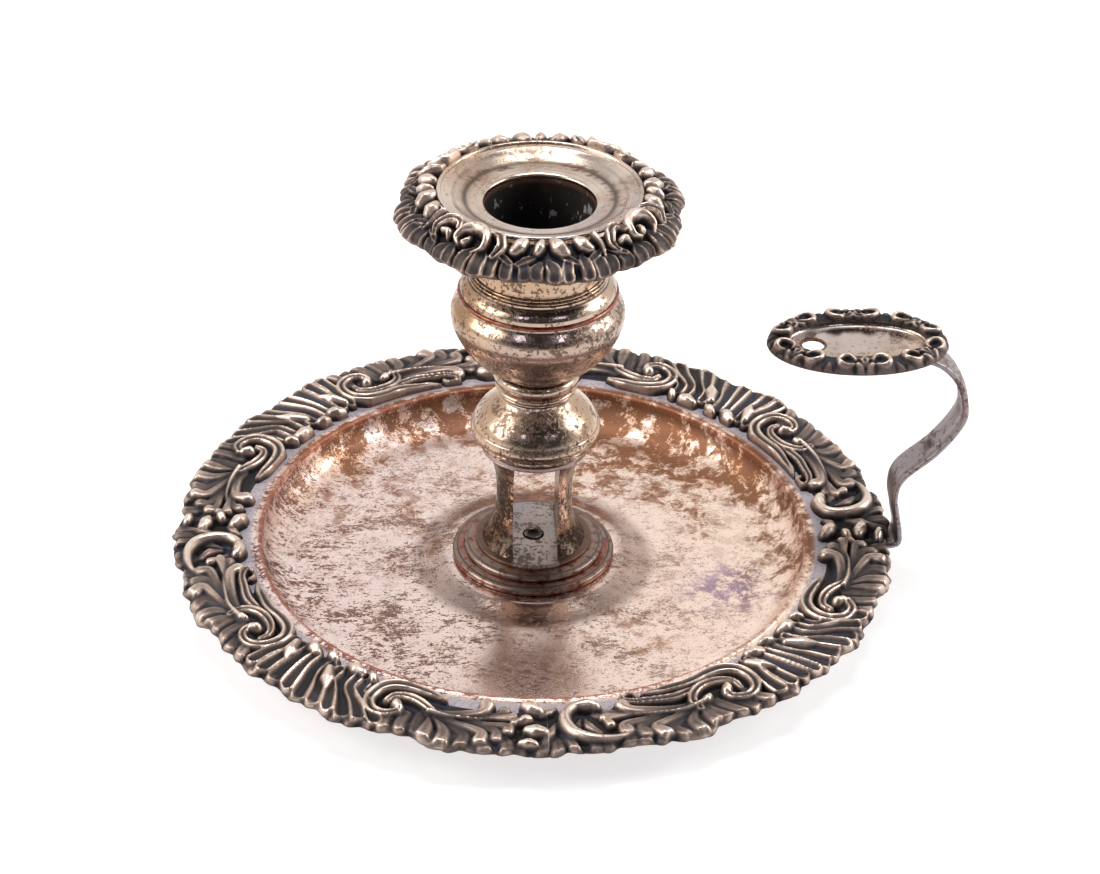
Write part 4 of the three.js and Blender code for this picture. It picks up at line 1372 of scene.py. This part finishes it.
def bore_finish():
    f = Finish("sooty_bore")
    # painted shade down the bore: black from just below the mouth, deeper down darker, with the wax specks
    # only there
    bore_shade = (nozzle_mouth - f.part(f.place, 2)).step(0.2 * MM, 2.2 * MM)
    speck = f.noise(520, 4, 0.62, 0.1, f.stretched((1, 1, 0.6))).step(0.61, 0.66)
    cloud = f.noise(160, 5, 0.6, 0.3)
    colour = f.blend(BORE_COPPER, BORE_SHADE, bore_shade)
    colour = f.blend(colour, BORE_STAIN, cloud.step(0.5, 0.7) * 0.6)
    colour = f.blend(colour, WAX, speck * bore_shade * 0.7)
    radius = f.from_axis()[2]
    outside = radius.step(bore + 0.15 * MM, bore + 0.30 * MM)
    rubbed = f.blend(TUBE_SILVER, TUBE_STAIN, cloud.step(0.48, 0.60))
    colour = f.blend(colour, rubbed, outside)
    bore_shade = bore_shade * (1 - outside)
    return f.set(Base_Color=colour, Metallic=0.75 - bore_shade * 0.6, Roughness=(0.30 + bore_shade * 0.35).clamped())


# %% [markdown]
# The tube, the dish and the wire are closed shapes, spun like the pieces of the stem. The dish reaches in
# to the bore's edge and out under the wire, so no gap shows from above.

# %% Tube, dish and ridge wire
nozzle_radius, nozzle_low, nozzle_high = reach("nozzle_tube")
bore = nozzle_radius - 0.5 * MM
dish_radius, dish_low, dish_high = reach("nozzle_dish")
nozzle_mouth = dish_low + 0.8 * MM
wire_radius, wire_low, wire_high = reach("nozzle_ridge_wire")
settle(turned([
    (bore, nozzle_low), (nozzle_radius, nozzle_low), (nozzle_radius, nozzle_high + 0.3 * MM),
    (bore, nozzle_high + 0.3 * MM), *[(bore, z) for z in np.linspace(nozzle_high, nozzle_low + 1 * MM, 12)],
], 160), "nozzle_tube_drawn", bore_finish(), "nozzle_tube", body="nozzle")

dish_plate = plate_finish(
    "dish_plate", age=0.1, dull=0.15, seed=0.71, streaks=(bore + 2.2 * MM, bore + 5.2 * MM)
)
dish_line = flow([
    (bore, nozzle_mouth - 0.5 * MM), (bore + 0.12 * MM, nozzle_mouth - 0.05 * MM),
    (bore + 0.7 * MM, nozzle_mouth + 0.22 * MM), (bore + 1.8 * MM, nozzle_mouth + 0.32 * MM),
    (bore + 3.8 * MM, nozzle_mouth + 0.75 * MM), (bore + 5.8 * MM, nozzle_mouth + 1.65 * MM),
    (bore + 7.2 * MM, nozzle_mouth + 2.45 * MM), (dish_radius, dish_high - 0.1 * MM),
    (wire_radius - 0.75 * MM, dish_high - 0.1 * MM),
], 8)
dish_under = [(r, z - 0.7 * MM) for r, z in dish_line[12:]]
settle(turned([
    *dish_line, *reversed(dish_under[::3]), (tube_radius + 0.3 * MM, dish_low), (bore, dish_low),
], 224), "nozzle_dish_spun", dish_plate, "nozzle_dish", body="nozzle")

wire_half = (wire_high - wire_low) / 2
settle(turned([
    (wire_radius - wire_half + wire_half * math.cos(a), wire_low + wire_half + wire_half * math.sin(a))
    for a in np.linspace(0, 2 * math.pi, 17)[:-1]
], 224), "nozzle_ridge_wire_drawn", dish_plate, "nozzle_ridge_wire", body="nozzle")

# %% [markdown]
# The nozzle's border droops, so its strokes rise along the slope's own normal. At the ridge stand buds,
# curls like rolled ribbons and a rib, with leaves below them, and the skirt is shell flutes in two
# groups.

# %% Nozzle border
nose_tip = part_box("nozzle_border_1")[1].y
nose_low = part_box("nozzle_border_1")[0].z
nose_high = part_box("nozzle_border_1")[1].z
nose_start = wire_radius - 0.1 * MM
NOSE_LENGTH = 38.5  # along one length, in the millimetres that the motif is drawn in
NOSE_ROWS = 60
NOSE_STEPS = 230
nose_line, _ = evenly(flow([
    (nose_start / MM, (nose_high - 1.4 * MM) / MM),
    ((nose_start + 1.5 * MM) / MM, (nose_high - 1.6 * MM) / MM),
    ((nose_start + 4.0 * MM) / MM, (nose_high - 3.0 * MM) / MM),
    ((nose_tip - 1.3 * MM) / MM, (nose_low + 1.7 * MM) / MM),
    ((nose_tip - 0.5 * MM) / MM, (nose_low + 0.3 * MM) / MM),
], 12))
NOSE_ACROSS = 10.2
NOSE_FLUTES = 14


def nose_crown(along):
    """1 in the middle of each group of flutes, 0 between two groups."""
    return 0.5 - 0.5 * np.cos(4 * math.pi * along / NOSE_LENGTH + 1.2)


def nose_motif(along, across):
    field = np.full(len(along), -0.3)

    def lay(points, widths, heights, section="roll"):
        lay_stroke(field, along, across, points, widths, heights, section, repeat=NOSE_LENGTH)

    # skirt of shell flutes in two groups, each with a crown
    for i in range(NOSE_FLUTES):
        x = (i + 0.5 + 0.15 * math.sin(4.3 * i)) * NOSE_LENGTH / NOSE_FLUTES
        crown = nose_crown(x)
        wide = 1.42 + 0.2 * math.sin(5.1 * i)
        lay([(x - 0.8 * math.sin(1.3 * x), 6.0 - 1.6 * crown), (x, 8.0), (x, 9.4)],
            [0.6, wide, wide], [0.7, 0.9 + 0.7 * crown, 0.8 + 1.1 * crown], "spoon")
    # leaves between the buds and the skirt
    for x, tilt in ((4.4, 1), (9.6, -1), (14.0, 1), (30.4, 1), (35.0, -1)):
        lay([(x - 1.6 * tilt, 4.2), (x, 5.6), (x + 1.6 * tilt, 6.9)],
            [0.5, 1.1, 0.7], [1.0, 1.7, 1.3], "spoon")
    # pair of curls that face each other
    lay([(24.2, 6.4), (26.0, 4.6), (25.8, 1.6), (23.2, 0.5), (20.4, 1.4), (19.6, 3.8), (20.8, 5.4)],
        [0.5, 0.9, 1.1, 1.15, 1.1, 0.95, 0.6], [1.3, 2.2, 2.8, 2.9, 2.7, 2.3, 1.8])
    lay([(21.8, 4.6), (22.4, 3.4), (22.4, 2.6)], [0.9, 0.8, 0.5], [2.2, 2.1, 1.6])
    lay([(28.6, 6.2), (29.8, 3.4), (28.8, 1.2), (27.2, 0.5)],
        [0.8, 1.3, 1.2, 0.7], [1.8, 2.8, 2.7, 2.0], "band")
    lay([(14.6, 6.0), (13.8, 3.6), (15.2, 1.2), (17.4, 0.7), (18.6, 1.9)],
        [0.6, 1.0, 1.15, 1.0, 0.6], [1.5, 2.3, 2.7, 2.6, 2.0], "band")
    lay([(15.9, 3.8), (17.2, 3.5), (18.0, 5.2)], [0.9, 1.0, 0.5], [2.1, 2.2, 1.3])
    # rib between two buds
    lay([(11.2, 0.8), (11.7, 3.6), (11.4, 6.6)], [0.65, 0.55, 0.35], [2.2, 2.0, 1.2])
    # rolled buds
    for x, turn, size in ((8.0, 0.9, 1.0), (2.8, 1.0, 1.15), (33.2, 2.2, 1.05), (37.4, 2.0, 0.8)):
        lay_bud(lay, x, 2.3, turn, size, 2.3, ridges=size > 1.1)
    return field


def nose_blank():
    count = len(nose_line)
    picks = np.linspace(0, count - 1, NOSE_ROWS + 1).astype(int)
    top = [(r * MM, z * MM) for r, z in nose_line[picks]]
    under = [(r - 0.55 * MM, z - 0.95 * MM) for r, z in top[::6]]
    return quarter_blank(top, under, NOSE_STEPS)


def emboss_nose(mesh):
    place = read_places(mesh)
    x, y = place[:, 0] - AXIS_X, place[:, 1]
    radius = np.hypot(x, y)
    angle = np.arctan2(y, x)
    run = np.concatenate([[0], np.cumsum(np.linalg.norm(np.diff(nose_line, axis=0), axis=1))])
    spot = np.column_stack([radius / MM, place[:, 2] / MM])
    away = np.hypot(spot[:, None, 0] - nose_line[None, :, 0], spot[:, None, 1] - nose_line[None, :, 1])
    k = away.argmin(axis=1)
    top = away[np.arange(len(k)), k] < 0.1
    slope = np.gradient(nose_line, axis=0)
    slope /= np.linalg.norm(slope, axis=1, keepdims=True)
    height = np.zeros(len(place))
    height[top] = nose_motif(angle[top] / (math.pi / 2) * NOSE_LENGTH, run[k[top]] / run[-1] * NOSE_ACROSS)
    height = polish(mesh, height, top)
    push = height * MM
    along = angle / (math.pi / 2) * NOSE_LENGTH
    share = run[k] / run[-1]
    scallop = 0.35 * (np.abs(np.sin(math.pi * along * NOSE_FLUTES / NOSE_LENGTH)) - 0.6)
    lobes = 0.9 * (nose_crown(along) - 0.6) + 0.35 * np.sin(10 * math.pi * along / NOSE_LENGTH)
    tips = (scallop + lobes) * MM * np.clip((share - 0.6) / 0.4, 0, 1) ** 1.3
    longer = -slope[k, 1] * push + tips
    place[:, 0] = AXIS_X + x * (1 + longer / radius)
    place[:, 1] = y * (1 + longer / radius)
    place[:, 2] += slope[k, 0] * push
    write_places(mesh, place)
    return np.clip((height - 0.2) / 2.1, 0, 1)


settle_four(nose_blank(), "nozzle_border", chased, "nozzle",
            (1.3 * MM, 0.28 * MM), emboss_nose)

# %% [markdown]
# ## The handle
#
# The strap was drawn flat, then bent by eye from under the rim out and up to the thumb plate. Its line is
# a smooth curve through a few places, which are tied to the rim, the pan's edge and the strap's own box.
# A rounded section is carried along it, one extrusion at a time, and each new ring is placed square to
# the line.

# %% Strap
strap_low, strap_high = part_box("handle_strap")
STRAP_THICK = 1.6 * MM
half = STRAP_THICK / 2
strap_half_width = (strap_high.y - strap_low.y) / 2
under_rim = pan_high - SHEET - 0.3 * MM - half
strap_top = strap_high.z - half
outermost = strap_high.x - AXIS_X - half
edge = pan_tip
tail = edge - (strap_low.x - AXIS_X)
sweep = outermost - edge
waist = pan_high + 9.8 * MM
outer_height = pan_high + 32.3 * MM
rise = outer_height - waist
strap_line = flow([
    (edge - tail, under_rim), (edge - tail * 0.5, under_rim), (edge, under_rim - 0.2 * MM),
    (edge + 1.7 * MM, under_rim + 1.3 * MM), (edge + 0.9 * MM, waist - 5.5 * MM), (edge, waist),
    (edge + sweep * 0.1, waist + rise * 0.22), (edge + sweep * 0.6, waist + rise * 0.5),
    (edge + sweep * 0.95, waist + rise * 0.8), (outermost, outer_height),
    (outermost - sweep * 0.15, outer_height + (strap_top - outer_height) * 0.5),
    (outermost - sweep * 0.48, outer_height + (strap_top - outer_height) * 0.87),
    (outermost - sweep * 0.95, strap_top), (outermost - sweep * 0.95 - tail, strap_top),
], 14)


def strap_section():
    """(across, out) of the strap's outline: a flat inner face, a crowned outer one and round edges."""
    inner = [(w * strap_half_width, -half) for w in np.linspace(-0.80, 0.80, 9)]
    outer = [(w * strap_half_width, half - 0.35 * MM * (w / 0.8) ** 2)
             for w in np.linspace(0.80, -0.80, 13)]
    right = [(strap_half_width - 0.10 * strap_half_width * (1 - math.cos(a)) - 0.05 * MM,
              half * 0.62 * math.sin(a)) for a in np.linspace(-1.2, 1.0, 6)]
    left = [(-w, h) for w, h in reversed(right)]
    return [*inner, *right, *outer, *left]


def sweep_strap():
    bm = bmesh.new()
    section = strap_section()
    slope = np.gradient(strap_line, axis=0)
    slope /= np.linalg.norm(slope, axis=1, keepdims=True)
    edges = None
    for (r, z), (along_r, along_z) in zip(strap_line, slope):
        if edges is None:
            ring = [bm.verts.new((0, 0, 0)) for _ in section]
            edges = [bm.edges.new(pair) for pair in zip(ring, [*ring[1:], ring[0]])]
            first = list(edges)
        else:
            made = bmesh.ops.extrude_edge_only(bm, edges=edges)["geom"]
            fresh = {v for v in made if isinstance(v, bmesh.types.BMVert)}
            partner = {}
            for v in ring:
                for link in v.link_edges:
                    other = link.other_vert(v)
                    if other in fresh:
                        partner[v] = other
            ring = [partner[v] for v in ring]
            edges = [bm.edges.get(pair) for pair in zip(ring, [*ring[1:], ring[0]])]
        for vertex, (across, out) in zip(ring, section):
            vertex.co = (AXIS_X + r + out * along_z, across, z - out * along_r)
    bmesh.ops.holes_fill(bm, edges=[*first, *edges], sides=0)
    return bm


handle_plate = plate_finish("handle_plate", age=0.55, dull=1.0, seed=0.57)
settle(sweep_strap(), "handle_strap_bent", handle_plate, "handle_strap")

# %% [markdown]
# ## The thumb plate
#
# The plate is an oval with a shallow dish and a hole, perhaps to hang it by. Its border is a third band
# of struck work, with round eyes and small flutes. Both are first spun as circles and then drawn out to
# ovals by moving their vertices, so that the border keeps the same width all round.

# %% Thumb plate
plate_low, plate_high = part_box("thumb_plate")
rim_low, rim_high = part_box("thumb_border")
THUMB_X = (rim_low.x + rim_high.x) / 2
OVAL_LONG = (rim_high.x - rim_low.x) / 2
OVAL_WIDE = (rim_high.y - rim_low.y) / 2
RIM_WIDTH = 4.5 * MM
HOLE_RADIUS = 2.3 * MM
HOLE_X = rim_low.x + 9.5 * MM
middle_long = OVAL_LONG - RIM_WIDTH
middle_wide = OVAL_WIDE - RIM_WIDTH


def draw_out(mesh):
    """Turns a disc of radius 1 about the stem's axis, with its rim from 1 to 2, into the oval plate."""
    for vertex in mesh.vertices:
        x, y = vertex.co.x - AXIS_X, vertex.co.y
        r = math.hypot(x, y)
        a = math.atan2(y, x)
        inside, beyond = min(r, 1.0), max(r - 1.0, 0.0) * RIM_WIDTH
        vertex.co.x = THUMB_X + (middle_long * inside + beyond) * math.cos(a)
        vertex.co.y = (middle_wide * inside + beyond) * math.sin(a)


def thumb_plate():
    dish = 0.35 * MM
    upper = [(0, plate_high.z - dish), *[(r, plate_high.z - dish) for r in np.linspace(0.08, 0.86, 16)],
             (0.93, plate_high.z - 0.6 * dish), (0.98, plate_high.z - 0.1 * dish),
             (1.0, plate_high.z + 0.3 * MM), (1.7, plate_high.z + 0.3 * MM), (1.8, plate_high.z)]
    lower = [(1.8, plate_low.z + 0.15 * MM), (1.74, plate_low.z), (0.9, plate_low.z), (0, plate_low.z)]
    bm = turned([*upper, *lower], 144, closed=False)
    bmesh.ops.remove_doubles(bm, verts=bm.verts, dist=1e-5)
    mesh = bpy.data.meshes.new("oval")
    bm.to_mesh(mesh)
    bm.free()
    draw_out(mesh)
    plate = bpy.data.objects.new("oval", mesh)
    bpy.context.scene.collection.objects.link(plate)
    hole = bmesh.new()
    bmesh.ops.create_cone(
        hole, cap_ends=True, segments=48, radius1=HOLE_RADIUS, radius2=HOLE_RADIUS, depth=10 * MM,
        matrix=Matrix.Translation((HOLE_X, 0, plate_low.z)),
    )
    drill_mesh = bpy.data.meshes.new("drill")
    hole.to_mesh(drill_mesh)
    hole.free()
    drill = bpy.data.objects.new("drill", drill_mesh)
    bpy.context.scene.collection.objects.link(drill)
    cut = plate.modifiers.new("hole", "BOOLEAN")
    cut.object = drill
    cut.operation = "DIFFERENCE"
    cut.solver = "EXACT"
    shaped = bpy.data.meshes.new_from_object(plate.evaluated_get(bpy.context.evaluated_depsgraph_get()))
    bm = bmesh.new()
    bm.from_mesh(shaped)
    bpy.data.objects.remove(plate)
    bpy.data.objects.remove(drill)
    return bm


# the mark paints shade in the hole and on a thin ring round its edge
thumb_silver = plate_finish("thumb_silver", age=0.12, seed=0.83, mark=(HOLE_X, 0.0, HOLE_RADIUS))
settle(thumb_plate(), "thumb_plate_dished", thumb_silver, "thumb_plate",
       crest=(0.9 * MM, 0.2 * MM))

# %% [markdown]
# The thumb border is struck like the others, from twelve round eyes that face one another in pairs, short
# bands between them, and a row of small flutes at the edge. Its blank is a circle until the relief is
# laid.

# %% Thumb border
THUMB_TURN = 96.0  # once round the border in the motif's units, which is nearly its outer edge in millimetres
RIM_ROWS = 26


def thumb_motif(along, across):
    field = np.full(len(along), 0.15)

    def lay(points, widths, heights, section="roll"):
        lay_stroke(field, along, across, points, widths, heights, section, repeat=THUMB_TURN)

    eyes = 12
    pitch = THUMB_TURN / eyes
    for i in range(eyes):
        x = (i + 0.5) * pitch
        way = 1 if i % 2 else -1
        # a round eye, open at the outer side
        eye = [(x + way * 2.0 * math.cos(a), 2.1 + 1.65 * math.sin(a)) for a in np.linspace(-2.9, 2.3, 10)]
        lay(eye, [0.55, 0.75, 0.85, 0.75, 0.5], [1.2, 1.6, 1.7, 1.6, 1.2])
        lay([(x - way * 2.2, 0.8), (x - way * 3.6, 1.4), (x - way * 4.4, 3.4)], [0.7, 1.1, 0.6],
            [1.2, 1.6, 1.1], "band")
        lay([(x - way * 2.4, 3.2), (x - way * 3.2, 4.3)], [0.8, 0.7], [1.2, 1.1])
    flutes = 44
    for i in range(flutes):
        x = (i + 0.5) * THUMB_TURN / flutes
        lay([(x - 0.3, 2.9), (x, 4.3)], [0.6, 0.95], [0.7, 0.8], "leaf")
    return field


def emboss_thumb(mesh):
    place = read_places(mesh)
    x, y = place[:, 0] - AXIS_X, place[:, 1]
    radius, angle = np.hypot(x, y), np.arctan2(y, x)
    across = radius - 1.0
    top = place[:, 2] > rim_low.z + 0.35 * MM
    # the angle of an oval is not its arc, so the arc is summed once and looked up
    turn = np.linspace(-math.pi, math.pi, 721)
    mid_long, mid_wide = middle_long + RIM_WIDTH / 2, middle_wide + RIM_WIDTH / 2
    arc = np.concatenate([[0], np.cumsum(np.hypot(
        np.diff(mid_long * np.cos(turn)), np.diff(mid_wide * np.sin(turn))))])
    along = np.interp(angle, turn, arc / arc[-1] * THUMB_TURN)
    height = np.zeros(len(place))
    height[top] = thumb_motif(along[top], across[top] * RIM_WIDTH / MM)
    height = polish(mesh, height, top)
    fall = np.clip((across - 0.55) / 0.45, 0, 1) ** 3 * 1.3
    place[:, 2] += np.where(top, (height - fall) * MM, 0)
    wide = RIM_WIDTH * across
    place[:, 0] = THUMB_X + (middle_long + wide) * np.cos(angle)
    place[:, 1] = (middle_wide + wide) * np.sin(angle)
    write_places(mesh, place)
    return np.clip((height - 0.55) / 1.3, 0, 1)


ground = rim_low.z + 0.4 * MM
rim_top = [(1.0 + i / RIM_ROWS, ground) for i in range(RIM_ROWS + 1)]
rim_under = [(1.0, rim_low.z - 0.3 * MM), (1.75, rim_low.z - 0.9 * MM), (1.97, rim_low.z - 0.9 * MM)]
settle(turned([*rim_top, *reversed(rim_under)], 480), "thumb_border_struck", chased,
       "thumb_border", crest=(1.0 * MM, 0.20 * MM), shape=emboss_thumb)

# %% [markdown]
# ## Sizes
#
# The boxes of the CAD model and of the dressed model are printed, in millimetres.

# %% Print the boxes
visual_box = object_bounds()
sizes = {"cad": [list(corner) for corner in cad_box], "visual": [list(corner) for corner in visual_box]}
for label, (low, high) in sizes.items():
    print(label, [round((b - a) / MM, 2) for a, b in zip(low, high)])
